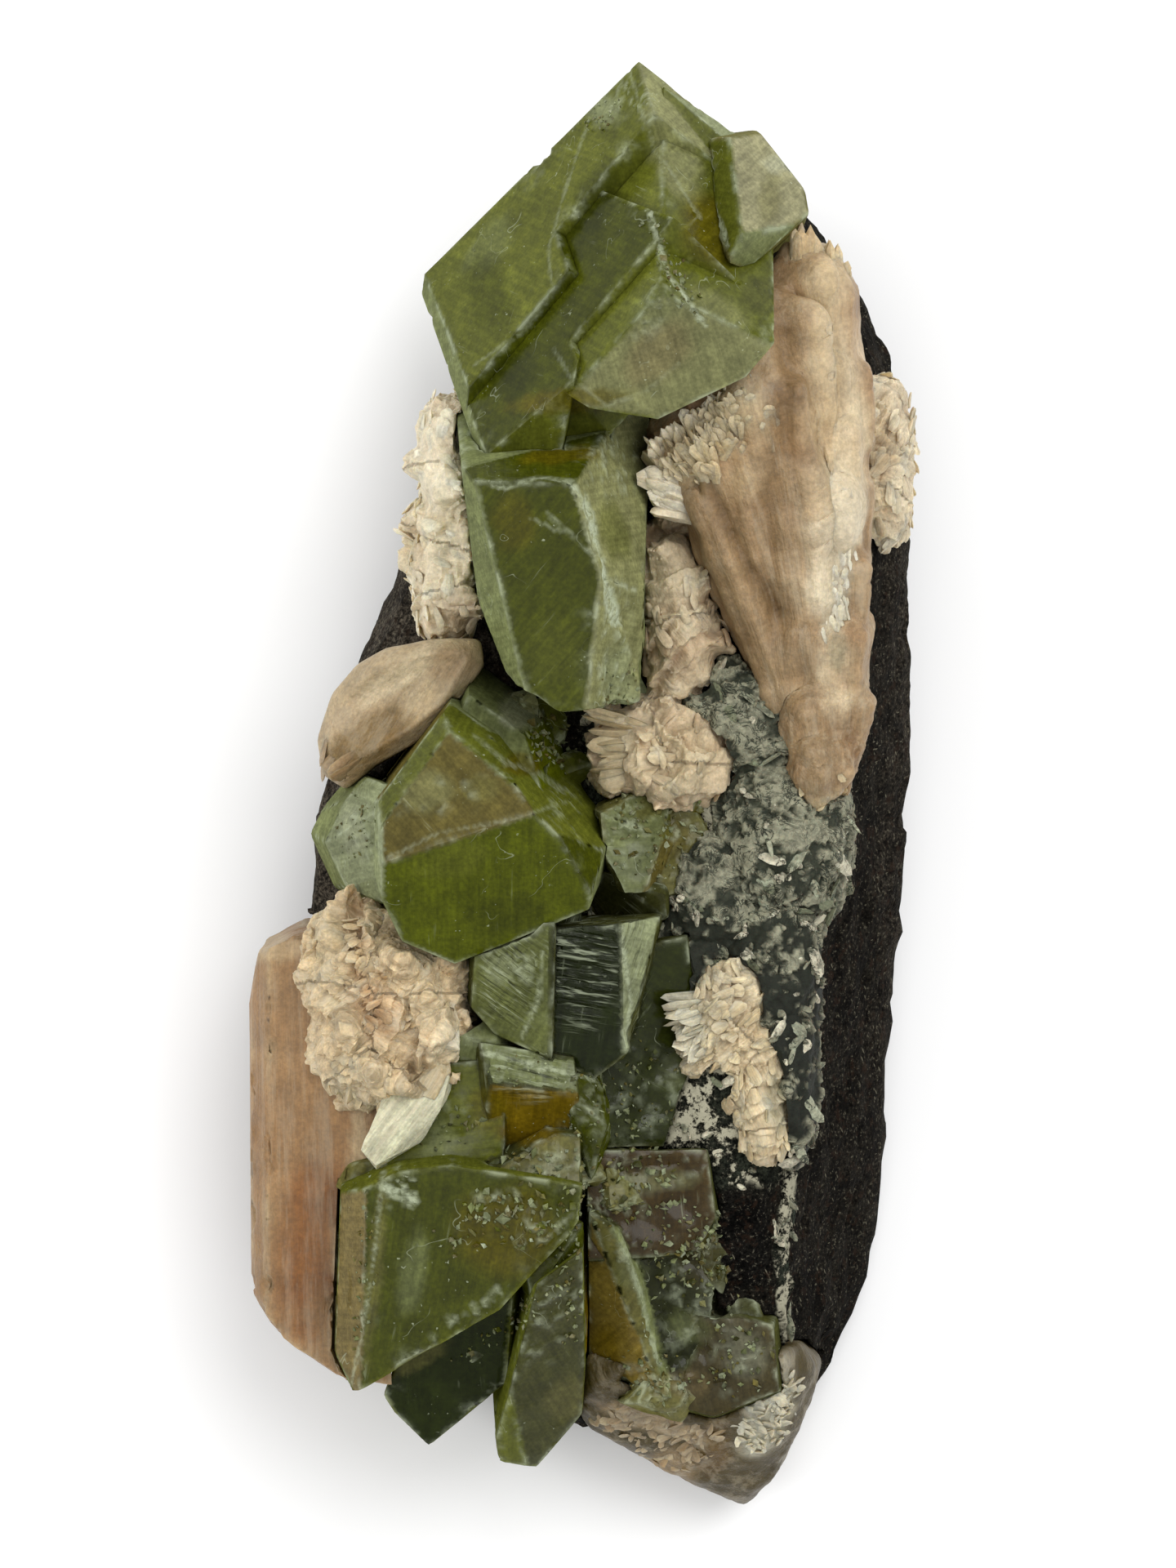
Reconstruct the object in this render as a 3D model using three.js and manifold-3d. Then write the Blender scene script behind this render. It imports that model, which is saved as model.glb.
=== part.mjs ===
// A hand-sized cluster of green apophyllite with peach stilbite on dark basalt.
// Millimetres, +Z up. The specimen lies on its flat broken back, its crystals upward;
// +Y runs along its length towards the tall crown of crystals.
//
// Every species is a closed solid. Apophyllite and the stilbite slab are blocks trimmed by
// their crystal faces, stilbite sprays are blades joined at their root, and the rock is a
// rounded block of broken faces. A later piece is cut by the earlier ones, which are grown
// by GAP first, so each crystal sits in a socket of its own shape.
import * as THREE from 'three';
import { ConvexGeometry } from 'three/addons/geometries/ConvexGeometry.js';
import { mergeVertices } from 'three/addons/utils/BufferGeometryUtils.js';
import Module from 'manifold-3d';

const wasm = await Module();
wasm.setup();

// ---- driving dimensions -------------------------------------------------------------
const GAP = 0.3; // clearance in every socket
const RAW_BLOCK = 90; // side of the raw block that a crystal is trimmed from
const WALL_DROP = 10; // height over which a wall's lean is measured
const MATRIX_TOP = 22; // height of the rock's ridge above the table
const SOCKET_DEPTH = 12; // height at which the crystals end inside the rock

// ---- solids and geometries ----------------------------------------------------------
function solidOf(geometry) {
  const bare = geometry.clone();
  bare.deleteAttribute('normal');
  bare.deleteAttribute('uv');
  const merged = mergeVertices(bare, 1e-4);
  return new wasm.Manifold(new wasm.Mesh({
    numProp: 3,
    vertProperties: new Float32Array(merged.attributes.position.array),
    triVerts: new Uint32Array(merged.index.array),
  }));
}

function geometryOf(solid) {
  const mesh = solid.getMesh();
  const geometry = new THREE.BufferGeometry();
  geometry.setAttribute('position', new THREE.BufferAttribute(mesh.vertProperties, 3));
  geometry.setIndex(new THREE.BufferAttribute(mesh.triVerts, 1));
  return geometry;
}

function joined(solids) {
  return solids.reduce((sum, solid) => sum.add(solid));
}

function largestBody(solid) {
  const bodies = solid.decompose();
  return bodies.reduce((best, body) => (body.volume() > best.volume() ? body : best));
}

const vec = (p) => new THREE.Vector3(...p);

// A small generator with a seed, so that every build gives the same blades.
function randomFrom(seed) {
  let state = seed;
  return () => {
    state = (state + 0x6d2b79f5) | 0;
    let t = Math.imul(state ^ (state >>> 15), 1 | state);
    t = (t + Math.imul(t ^ (t >>> 7), 61 | t)) ^ t;
    return ((t ^ (t >>> 14)) >>> 0) / 4294967296;
  };
}

// ---- crystals: blocks trimmed by their faces ------------------------------------------
// Each of these gives a plane, as the heart of the crystal sees it.
function facing(at, normal) {
  return () => ({ normal: vec(normal).normalize(), at: vec(at) });
}

function through(p, q, r) {
  return (heart) => {
    const at = vec(p);
    const normal = vec(q).sub(at).cross(vec(r).sub(at)).normalize();
    if (normal.dot(at.clone().sub(heart)) < 0) normal.negate();
    return { normal, at };
  };
}

// A face that falls away from the edge p-q, moving outward by lean mm for each mm of drop.
function wall(p, q, lean) {
  return (heart) => {
    const middle = vec(p).add(vec(q)).multiplyScalar(0.5);
    const along = vec(q).sub(vec(p));
    const outward = new THREE.Vector3(along.y, -along.x, 0).normalize();
    if (outward.dot(middle.clone().sub(heart)) < 0) outward.negate();
    const low = middle.clone().addScaledVector(outward, lean * WALL_DROP);
    low.z -= WALL_DROP;
    return through(p, q, low.toArray())(heart);
  };
}

function crystal({ heart, faces, foot = SOCKET_DEPTH }, grow) {
  const centre = vec(heart);
  const planes = faces.map((face) => face(centre));
  planes.push({ normal: new THREE.Vector3(0, 0, -1), at: new THREE.Vector3(0, 0, foot) });
  const raw = new THREE.BoxGeometry(RAW_BLOCK, RAW_BLOCK, RAW_BLOCK);
  raw.translate(centre.x, centre.y, centre.z);
  return planes.reduce((solid, { normal, at }) => {
    const inward = normal.clone().negate();
    return solid.trimByPlane(inward.toArray(), -(normal.dot(at) + grow));
  }, solidOf(raw));
}

// ---- stilbite: flat blades with a chisel tip ------------------------------------------
// A blade runs from root to tip; its broad face looks along `face`. It widens from the root
// to its shoulders and ends in a low pyramid.
function blade({ root, tip, face, width, thick, point = 1.1, taper = 0.55 }, grow) {
  const start = vec(root);
  const along = vec(tip).sub(start);
  const length = along.length() + grow;
  along.normalize();
  const across = new THREE.Vector3().crossVectors(along, face).normalize();
  const out = new THREE.Vector3().crossVectors(across, along);
  const corners = [start.clone().addScaledVector(along, length)];
  const shoulder = length - grow - width * point * 0.5;
  for (const [reach, size] of [[-grow, taper], [shoulder, 1]]) {
    for (const side of [-1, 1]) {
      for (const rise of [-1, 1]) {
        corners.push(start.clone().addScaledVector(along, reach)
          .addScaledVector(across, side * (size * width / 2 + grow))
          .addScaledVector(out, rise * (size * thick / 2 + grow)));
      }
    }
  }
  return solidOf(new ConvexGeometry(corners));
}

// Blades that spread from one root to tips spaced along a smooth line. `stand` says how far
// they are turned on edge, from 0, flat, to 1, upright.
function spray({ root, tips, count, width, thick, stand = 0.4, closed = false, seed, ragged = 0.08 }, grow) {
  const random = randomFrom(seed);
  const line = new THREE.CatmullRomCurve3(tips.map(vec), closed);
  const up = new THREE.Vector3(0, 0, 1);
  const blades = [];
  for (let i = 0; i < count; i += 1) {
    const tip = line.getPointAt(closed ? i / count : i / (count - 1));
    const along = tip.clone().sub(vec(root));
    tip.addScaledVector(along, (random() - 0.5) * 2 * ragged);
    along.normalize();
    const roll = (stand + (random() - 0.5) * 0.5) * (Math.PI / 2) * (random() < 0.5 ? -1 : 1);
    const side = new THREE.Vector3().crossVectors(along, up).normalize();
    const flat = new THREE.Vector3().crossVectors(side, along);
    const face = flat.multiplyScalar(Math.cos(roll)).addScaledVector(side, Math.sin(roll));
    const size = 0.85 + random() * 0.3;
    blades.push(blade({
      root, tip: tip.toArray(), face, width: width * size, thick: thick * size,
    }, grow));
  }
  return joined(blades);
}

// ---- rock: a rounded block of broken faces with a rough skin --------------------------
function roughness(p, amount, pitch) {
  const k = (2 * Math.PI) / pitch;
  const coarse = Math.sin(k * p.x + 1.3 * Math.sin(k * 0.7 * p.y)) * Math.cos(k * 0.9 * p.y + k * 0.6 * p.z);
  const fine = Math.sin(k * 2.3 * p.y + 2.1) * Math.sin(k * 2.1 * p.x + k * 1.7 * p.z);
  return amount * (0.7 * coarse + 0.3 * fine);
}

function rock({ heart, radii, faces, detail, sharp = 14, rough = 0.5, pitch = 11 }, grow) {
  const centre = vec(heart);
  const planes = faces.map((face) => {
    const { normal, at } = face(centre);
    return { normal, reach: normal.dot(at.clone().sub(centre)) + grow };
  });
  const geometry = new THREE.IcosahedronGeometry(1, detail);
  const position = geometry.attributes.position;
  const p = new THREE.Vector3();
  for (let i = 0; i < position.count; i += 1) {
    p.fromBufferAttribute(position, i).multiply(vec(radii)).normalize();
    let sum = 0;
    for (const { normal, reach } of planes) sum += Math.max(0, normal.dot(p) / reach) ** sharp;
    const distance = sum ** (-1 / sharp);
    const place = p.clone().multiplyScalar(distance);
    place.addScaledVector(p, roughness(place, rough, pitch));
    place.add(centre);
    position.setXYZ(i, place.x, place.y, place.z);
  }
  return solidOf(geometry);
}

// ---- apophyllite: the crown -----------------------------------------------------------
// Its individuals grew in parallel: U and W are the square prism's normals, V its long axis.
const U = vec([0.617, 0.712, 0.337]);
const V = vec([0.169, -0.538, 0.826]);
const W = vec([0.769, -0.452, -0.452]);
const CROWN_APEX = [3.9, 55.1, 26.0];
const CROWN_LENGTH = 27; // along U
const CROWN_REACH = 24.6; // along V, to the end face
const LAYER = 0.9; // thickness of the outer growth layer
const minus = (axis) => axis.clone().negate().toArray();

function inCrown(u, v, w) {
  const p = vec(CROWN_APEX).addScaledVector(U, u).addScaledVector(V, v).addScaledVector(W, w);
  return p.toArray();
}

function crownBlock({ u, v, w, cuts = [] }) {
  const low = inCrown(u[0], v[0], w[0]);
  const high = inCrown(u[1], v[1], w[1]);
  return {
    heart: inCrown((u[0] + u[1]) / 2, (v[0] + v[1]) / 2, (w[0] + w[1]) / 2),
    faces: [
      facing(low, minus(U)), facing(low, minus(V)), facing(low, minus(W)),
      facing(high, U.toArray()), facing(high, V.toArray()), facing(high, W.toArray()),
      ...cuts,
    ],
  };
}

const crownBack = through(CROWN_APEX, [-9.9, 42.4, 15.6], [10.4, 50.4, 21.5]);
const crownLeftStrip = facing([-11.8, 38.4, 17.1], [-0.975, -0.03, 0.209]);
const crownStriated = through(CROWN_APEX, [7.5, 41.4, 45.4], [10.4, 50.4, 21.5]);
const crownInnerEnd = through([4.6, 43.2, 37.6], [7.8, 41.4, 44.0], [10.0, 38.2, 33.0]);
const crownBevel = through([-0.9, 33.3, 36.4], [5.8, 37.6, 43.0], [-1.2, 29.2, 40.2]);
const crownRight = through([4.6, 43.2, 37.6], [8.3, 35.2, 42.2], [12.6, 36.6, 37.0]);
const crownLowEnd = through(inCrown(-16, 24.6, 1), inCrown(-24.1, 22.1, 0.6), inCrown(-16, 24.6, 8));

const skinCuts = [crownBack, crownLeftStrip, crownStriated];
const CROWN = [
  crownBlock({ u: [-CROWN_LENGTH, 3], v: [-8, 20], w: [LAYER, 8.5], cuts: [...skinCuts, crownInnerEnd] }),
  crownBlock({ u: [-CROWN_LENGTH, 3], v: [-8, 7.9], w: [0, 9], cuts: skinCuts }),
  crownBlock({ u: [-CROWN_LENGTH, -12.4], v: [-8, 13.8], w: [0, 9], cuts: skinCuts }),
  crownBlock({
    u: [-17, 0], v: [2, CROWN_REACH], w: [LAYER, 11.6],
    cuts: [
      crownBevel, crownRight,
      facing(inCrown(-16.3, CROWN_REACH, 5), minus(U.clone().addScaledVector(W, -0.42))),
      facing(inCrown(-14.9, CROWN_REACH, 8.3), minus(U.clone().addScaledVector(W, -1.96))),
    ],
  }),
  crownBlock({
    u: [-CROWN_LENGTH, -15], v: [-8, CROWN_REACH], w: [LAYER, 20],
    cuts: [crownBack, crownLeftStrip, crownLowEnd, facing([-1.5, 28, 25], [1, -0.2, 0])],
  }),
];

const CROWN_SIDE = [{
  heart: [12.5, 44.5, 27],
  faces: [
    through([10.7, 49.1, 31], [11.5, 41.2, 38.5], [8.7, 46.3, 29]),
    through([10.7, 49.1, 31], [11.5, 41.2, 38.5], [17.0, 45.5, 28]),
    through([11.5, 41.2, 38.5], [15.4, 42.4, 33.5], [12.2, 39.1, 35]),
    wall([9.4, 48.9, 30], [13.3, 49.5, 29], 0.1),
    wall([13.1, 49.3, 29], [16.4, 45.3, 26], 0.05),
    wall([16.3, 45.6, 26], [16.6, 43.4, 26], 0),
    wall([17.0, 43.6, 26], [12.2, 39.1, 34], 0),
    wall([12.2, 39.0, 34], [10.4, 39.8, 36], -0.2),
    wall([10.4, 39.8, 36], [7.9, 46.6, 29], 0.1),
    wall([7.9, 46.6, 29], [9.4, 49.0, 29], 0),
    through([8, 49.5, 22], [16, 49.5, 21], [12, 42, 13]),
  ],
}];

// ---- apophyllite: the steep crystal in the middle ---------------------------------------
const MIDDLE = [{
  heart: [-2.5, 15, 33],
  faces: [
    through([-8.4, 22.6, 41], [-1.1, 22.4, 42], [-4.7, 7.1, 39]),
    wall([-8.4, 22.6, 41], [-1.1, 22.4, 42], 0.45),
    wall([-8.4, 22.6, 41], [-4.7, 7.1, 39], 0.22),
    wall([-1.1, 22.4, 42], [0.9, 15.4, 41.2], 0.36),
    wall([0.9, 15.6, 41.2], [0.1, 7.0, 39.4], 0.42),
    wall([-4.7, 7.1, 39], [-2.0, 5.6, 38], -0.1),
    wall([-2.0, 5.6, 38], [2.4, 6.2, 33], -0.05),
    wall([-9.3, 23, 36], [-8.2, 14.0, 36], 0),
    wall([-8.2, 14.0, 36], [-5.6, 7.4, 33], 0),
    wall([4.6, 27.5, 30], [4.3, 19.5, 30], 0),
    wall([4.3, 19.5, 30], [4.0, 9, 30], 0),
    wall([-10.2, 25.2, 33], [4.4, 28.4, 28], 0.3),
  ],
}];

// ---- apophyllite: the roof-shaped crystal below it --------------------------------------
const ROOF = [
  {
    heart: [-8.5, -5, 28],
    faces: [
      through([-15.1, -5.8, 37], [-3.8, -2.1, 40], [-9.2, -12.9, 31.5]),
      through([-15.1, -5.8, 37], [-3.8, -2.1, 40], [-9.4, 3.0, 35.5]),
      wall([-9.0, 3.2, 35], [-3.0, -1.8, 39.6], 0.55),
      wall([-8.0, 4.2, 33], [-1.4, -0.6, 37], 0.1),
      wall([-3.2, -2.0, 40], [-1.7, -4.4, 37.6], 0.35),
      wall([-1.7, -4.0, 37], [0.6, -6.0, 35], 0.2),
      wall([0.7, -5.8, 35], [0.1, -9.1, 33], 0.05),
      wall([0.1, -9.1, 33], [-10.2, -13.6, 31], -0.15),
      wall([-10.0, -13.6, 31], [-14.0, -11.8, 32], -0.1),
      wall([-14.0, -11.8, 32], [-15.5, -8.5, 35], 0),
      wall([-15.5, -8.8, 35], [-15.7, -1.0, 34], 0.08),
      wall([-15.7, -0.8, 33], [-11.6, 3.2, 34], 0.6),
      // the long sage face runs up behind the roof to this edge
      wall([-15.7, -0.9, 30], [-7.6, 10.3, 26], 0.05),
      wall([-8.4, 10.4, 26], [-6.0, 8.4, 26], 0),
    ],
  },
  {
    // the vivid green block in front of that face
    heart: [-6.2, 3.6, 24],
    faces: [
      through([-9.5, 5.6, 30], [-6.3, 7.6, 28.5], [-2.6, -0.5, 32.5]),
      wall([-9.5, 5.4, 31], [-8.4, 8.2, 29], 0.1),
      wall([-8.4, 8.2, 29], [-6.3, 7.8, 29], 0.1),
      wall([-6.3, 7.8, 29], [-5.0, 3.6, 31], 0.2),
      wall([-5.0, 3.6, 31], [-0.6, 0.4, 32], 0.2),
      wall([-0.6, 0.4, 31], [0.6, -2.4, 31], 0.1),
      wall([0.6, -2.4, 31], [-3, -3, 31], 0),
    ],
  },
  {
    // the pale wedge on its left
    heart: [-17, -4.2, 21],
    faces: [
      through([-20.1, -4.5, 22.5], [-15.0, -1.6, 31], [-17.0, 0.2, 25.5]),
      through([-20.1, -4.5, 22.5], [-15.0, -1.6, 31], [-15.2, -8.6, 28]),
      wall([-20.1, -4.5, 22.5], [-18.4, -1.2, 24], 0.15),
      wall([-18.4, -1.2, 24], [-16.9, 0.4, 25], 0.1),
      wall([-20.1, -4.5, 22.5], [-18.4, -7.9, 24], 0.1),
      wall([-18.4, -7.9, 24], [-15.4, -9.0, 28], 0.05),
      wall([-16.9, 0.4, 25], [-14.4, -0.4, 28], 0),
      wall([-14.2, -0.4, 28], [-14.4, -9, 28], 0),
    ],
  },
];

// ---- apophyllite: the clear shoulder on the right ----------------------------------------
const SHOULDER = [
  {
    heart: [3.2, -5, 22],
    faces: [
      through([1.0, -2.2, 28.6], [5.7, -4.1, 27], [2.8, -8.3, 28]),
      through([1.0, -2.2, 28.6], [4.2, -0.6, 25], [5.7, -4.1, 27]),
      wall([1.0, -2.2, 28.6], [1.3, -5.2, 28.4], 0.1),
      wall([1.3, -5.2, 28.4], [2.8, -8.3, 28], 0.1),
      wall([2.8, -8.3, 28], [4.4, -8.1, 27], -0.1),
      wall([4.4, -8.1, 27], [6.0, -4.1, 26.4], 0.25),
      wall([6.0, -4.1, 26], [6.4, -1.2, 24], 0.3),
      wall([1.0, -2.2, 28], [4.2, -0.4, 25], 0.1),
    ],
  },
  {
    // the brown lump beside it
    heart: [7.6, -4.4, 18],
    faces: [
      through([5.6, -2.0, 24.5], [9.4, -3.8, 23], [7.4, -7.8, 24]),
      wall([5.0, -1.6, 24], [8.4, -1.4, 22], 0.3),
      wall([8.4, -1.4, 22], [9.8, -4.2, 22], 0.3),
      wall([9.8, -4.2, 22], [8.6, -8.2, 22], 0.3),
      wall([8.6, -8.2, 22], [5.4, -9.2, 22], 0.2),
      wall([5.2, -9.2, 22], [5.0, -1.6, 24], 0.1),
    ],
  },
];

// ---- apophyllite: the etched pair and the cap beneath it ---------------------------------
const ETCHED = [
  {
    heart: [-4.5, -16.5, 24],
    faces: [
      through([-8.4, -12.9, 31], [-3.1, -13.6, 32.4], [-7.1, -18.9, 28.6]),
      wall([-8.5, -12.6, 31], [-8.9, -16.8, 28], 0.12),
      wall([-8.9, -16.8, 28], [-7.1, -18.9, 28], 0),
      wall([-7.1, -18.9, 28], [-3.4, -20.6, 28], 0),
      wall([-2.8, -20.6, 28], [-2.6, -12, 31], 0),
      wall([-9, -11.4, 30], [-2, -10.4, 30], 0),
    ],
  },
  {
    heart: [0.2, -16.5, 24],
    faces: [
      through([-3.1, -13.6, 31.4], [2.5, -10.9, 33], [-0.4, -21.6, 28]),
      through([2.5, -10.9, 33], [2.6, -20.4, 29], [5.1, -10.8, 29.6]),
      wall([-3.3, -13.6, 31], [-3.9, -20.4, 28], 0),
      wall([-3.9, -20.4, 28], [0.6, -22.4, 27], 0),
      wall([0.6, -22.4, 27], [2.9, -20.4, 28], 0),
      wall([2.9, -20.6, 27], [5.2, -10.8, 29], 0.05),
      wall([-3.4, -11, 30], [5.4, -10.2, 30], 0.05),
    ],
  },
  {
    // the pale cap with amber below
    heart: [-4, -25, 21],
    faces: [
      through([-7.7, -20.7, 29], [0.3, -22.6, 29], [-3.5, -24.4, 29.8]),
      through([-7.2, -23.8, 29], [-0.9, -24.4, 28.8], [-3.4, -29.2, 25.5]),
      wall([-8.0, -20.3, 29], [-7.9, -24.0, 28], 0.3),
      wall([-7.9, -24.0, 28], [-7.0, -29.2, 25], 0.1),
      wall([-7.0, -29.6, 25], [-0.9, -29.4, 24.6], 0),
      wall([-0.6, -25.0, 28], [0.2, -29.6, 24.6], 0.05),
      wall([0.4, -22.6, 29], [-0.7, -24.6, 28.6], 0.1),
      wall([-8, -19.8, 28], [1, -21.2, 28], 0),
    ],
  },
  {
    // the dark block at their right foot
    heart: [5, -20, 18],
    faces: [
      through([2.6, -14.0, 26.2], [8.0, -13.6, 24.4], [4.6, -26.0, 23.4]),
      wall([2.2, -12.8, 26], [7.6, -11.6, 24], 0.1),
      wall([7.6, -12.0, 24], [9.4, -27.6, 23], 0.1),
      wall([9.4, -27.7, 23], [0.4, -27.8, 24], 0),
      wall([0.3, -27.6, 24], [1.6, -13, 26], 0),
    ],
  },
  {
    // low green lumps that lead down to the foot
    heart: [-10.6, -26.4, 18],
    faces: [
      through([-13.6, -27.4, 26.4], [-8.0, -22.8, 27.8], [-8.2, -29.6, 27.6]),
      wall([-11.4, -21.4, 26], [-16.0, -28.2, 25], 0.1),
      wall([-16.0, -28.2, 25], [-15.4, -31.6, 25], 0.1),
      wall([-11.4, -21.4, 26], [-7, -20.8, 26], 0.1),
      wall([-6.4, -21, 26], [-6.4, -31.4, 26], 0),
      wall([-15.4, -31.6, 25], [-5.8, -31.4, 25], 0),
    ],
  },
  {
    // the veiled pale lump over the foot's upper right corner
    heart: [-3.4, -30.4, 22],
    faces: [
      through([-6.6, -29.4, 30.4], [-0.8, -28.2, 30.8], [-2.4, -33.2, 31.2]),
      through([-6.6, -29.4, 30.6], [-4.2, -32.8, 30.6], [-6.8, -32, 27]),
      wall([-6.6, -28.8, 30], [-2.8, -26.4, 29], 0.2),
      wall([-2.8, -26.4, 29], [-0.8, -26.6, 29], 0.1),
      wall([-0.7, -26.6, 29], [-0.7, -32.4, 30], 0),
      wall([-0.9, -32.2, 31], [-3.4, -33.6, 30], 0.1),
      wall([-3.4, -33.6, 30], [-6.8, -31.6, 29], 0.1),
    ],
  },
];

// ---- apophyllite: the group at the foot ---------------------------------------------------
const FOOT = [
  {
    heart: [-9.5, -37.5, 24],
    foot: 9,
    faces: [
      through([-17.3, -31.6, 32], [-1.2, -33.0, 32.4], [-14.5, -46.4, 28.4]),
      wall([-17.0, -30.8, 32], [-17.5, -46.6, 28], 0.42),
      wall([-18.7, -31.4, 30], [-19.2, -43.8, 27], 0.02),
      wall([-19.2, -43.6, 27], [-17.3, -47.5, 26], 0),
      wall([-17.3, -47.4, 26], [-14.5, -46.6, 28], -0.12),
      wall([-14.5, -46.6, 28], [-10.4, -43.8, 29], -0.15),
      wall([-10.4, -43.8, 29], [-6.8, -39.8, 30], -0.15),
      wall([-6.8, -39.8, 30], [-0.9, -36.3, 31], -0.15),
      wall([-0.7, -36.6, 30], [-0.5, -30.0, 31], 0),
      wall([-0.4, -30.2, 31], [-10.4, -28.8, 32], 0.1),
      wall([-10.4, -28.8, 32], [-14.4, -29.4, 32], 0.1),
      wall([-14.4, -29.4, 32], [-18.9, -31.5, 31], 0.1),
    ],
  },
  {
    heart: [-9.6, -47.4, 15],
    foot: 5,
    faces: [
      through([-15.3, -47.3, 21], [-6.9, -42.4, 24.6], [-9.4, -53.4, 16.5]),
      wall([-15.5, -47.2, 21], [-14.6, -48.7, 20], 0),
      wall([-14.7, -48.5, 20], [-9.4, -53.8, 15], -0.1),
      wall([-9.6, -53.8, 15], [-6.5, -51.2, 17], 0.1),
      wall([-6.6, -51.6, 16], [-6.7, -48.3, 22], 0.1),
      wall([-6.8, -48.5, 22], [-5.3, -45.0, 26], 0),
      wall([-5.3, -45, 26], [-0.6, -41, 27], 0),
      wall([-0.6, -41, 27], [-0.6, -34, 27], 0),
      wall([-15.6, -47, 21], [-11, -36, 22], 0),
      wall([-11, -35, 22], [-0.6, -34, 22], 0),
    ],
  },
  {
    heart: [-3.2, -46, 17],
    foot: 5,
    faces: [
      through([-4.6, -44.0, 27.6], [-0.6, -41.0, 28.2], [-4.2, -52.3, 20]),
      through([-4.6, -44.0, 28.6], [-4.4, -52.2, 20.4], [-6.9, -49.6, 23]),
      wall([-4.6, -40.0, 28], [-7.0, -50.2, 22], 0.1),
      wall([-7.0, -49.8, 22], [-6.8, -52.0, 19], 0),
      wall([-7.0, -51.9, 19], [-4.0, -52.5, 19], -0.1),
      wall([-4.1, -52.6, 19], [-0.6, -48.4, 21], -0.05),
      wall([-0.6, -48.6, 21], [-0.35, -44.2, 27], 0),
      wall([-0.35, -44.4, 27], [-0.5, -36.6, 27], 0),
      wall([-4.8, -38.6, 27], [-0.2, -35.2, 27], 0),
    ],
  },
];

const FOOT_AMBER = [
  {
    heart: [2.6, -40, 18],
    foot: 7,
    faces: [
      through([0.2, -32.8, 27], [2.8, -36.4, 26.6], [5.4, -46.4, 21.4]),
      through([0.2, -32.8, 27], [5.4, -46.4, 21.4], [0.2, -44.8, 20.6]),
      wall([0.15, -31, 26], [0.2, -45.4, 20], 0),
      wall([0.2, -45.2, 21], [6.3, -47.2, 20], 0.05),
      wall([6.4, -46.9, 20], [3.2, -36.5, 26], 0.25),
      wall([3.2, -36.8, 26], [2.0, -33.8, 26], 0.2),
      wall([2.2, -33.9, 26], [0.0, -32.4, 26], 0.1),
    ],
  },
  {
    // the clear pinkish block above it
    heart: [5, -31.5, 18],
    foot: 7,
    faces: [
      through([1.0, -29.8, 25.6], [8.4, -28.4, 24.4], [5.6, -35.6, 24.6]),
      wall([0.0, -29.4, 25], [1.8, -27.2, 25], 0.1),
      wall([1.8, -28.1, 25], [9.2, -28.1, 24], 0),
      wall([9.0, -28.0, 24], [9.8, -33.2, 23], 0.1),
      wall([9.8, -33.2, 23], [8.6, -36.0, 23], 0.1),
      wall([8.6, -36.0, 23], [0.2, -36.4, 24], 0),
      wall([0.1, -36.4, 25], [0.0, -29.2, 25], 0),
    ],
  },
  {
    // the grey-green mass beside the amber crystal
    heart: [6, -39, 15],
    foot: 7,
    faces: [
      through([3.0, -35.6, 24.2], [9.0, -36.2, 23.0], [7.0, -44.0, 20.6]),
      wall([2.6, -35.0, 24], [8.8, -35.2, 23], 0),
      wall([8.8, -35.4, 23], [9.8, -42.0, 21], 0.1),
      wall([9.8, -42.0, 21], [6.0, -47.6, 19], 0),
      wall([6.0, -47.6, 19], [2.6, -36.0, 24], 0),
    ],
  },
  {
    // and its lower end, towards the right edge
    heart: [10, -44, 13],
    foot: 7,
    faces: [
      through([7.6, -40.8, 21.6], [13.8, -41.6, 20.8], [10.0, -47.6, 18.8]),
      wall([6.8, -40.4, 21], [10.4, -41.0, 21], 0.1),
      wall([10.4, -41.0, 21], [14.2, -41.6, 20], 0.1),
      wall([14.2, -41.6, 20], [14.6, -46.8, 19], 0.1),
      wall([14.6, -46.8, 19], [9.8, -48.8, 18], 0.1),
      wall([9.8, -48.8, 18], [5.0, -47.8, 19], 0.1),
      wall([4.8, -47.4, 19], [6.8, -40.6, 21], 0),
    ],
  },
];

// ---- stilbite ------------------------------------------------------------------------------
// The big bow tie: a wide sheaf that narrows to its lower tip, a crest of blades on its left
// shoulder, and a short second sheaf at the tip.
const BOW_TIE = [
  {
    root: [18.3, -0.6, 21.4], count: 12, width: 5.6, thick: 5.2, stand: 0.1, ragged: 0.03, seed: 11,
    tips: [[8.6, 25.4, 28], [10.2, 29.4, 31], [12.2, 32.4, 32.2], [13.4, 35.6, 32.6], [14.4, 39.4, 31],
      [15.6, 42.6, 28], [17.2, 42.2, 27.6], [18.0, 36, 28], [18.6, 28, 28], [18.6, 18, 27], [18.6, 10, 26]],
  },
  {
    root: [13.6, 21, 27], count: 6, width: 4, thick: 2.6, stand: 0.3, ragged: 0.1, seed: 13,
    tips: [[4.6, 23.2, 27.6], [4.2, 26.0, 29], [6.4, 28.6, 30.4], [9.4, 31.0, 31.6]],
  },
  {
    root: [17.4, 6, 23], count: 4, width: 4.6, thick: 5, stand: 0.1, ragged: 0.05, seed: 12,
    tips: [[16.2, 0.6, 25], [17.2, -2.0, 25], [18.4, -3.0, 24.6], [18.8, 2.4, 25]],
  },
];

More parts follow.
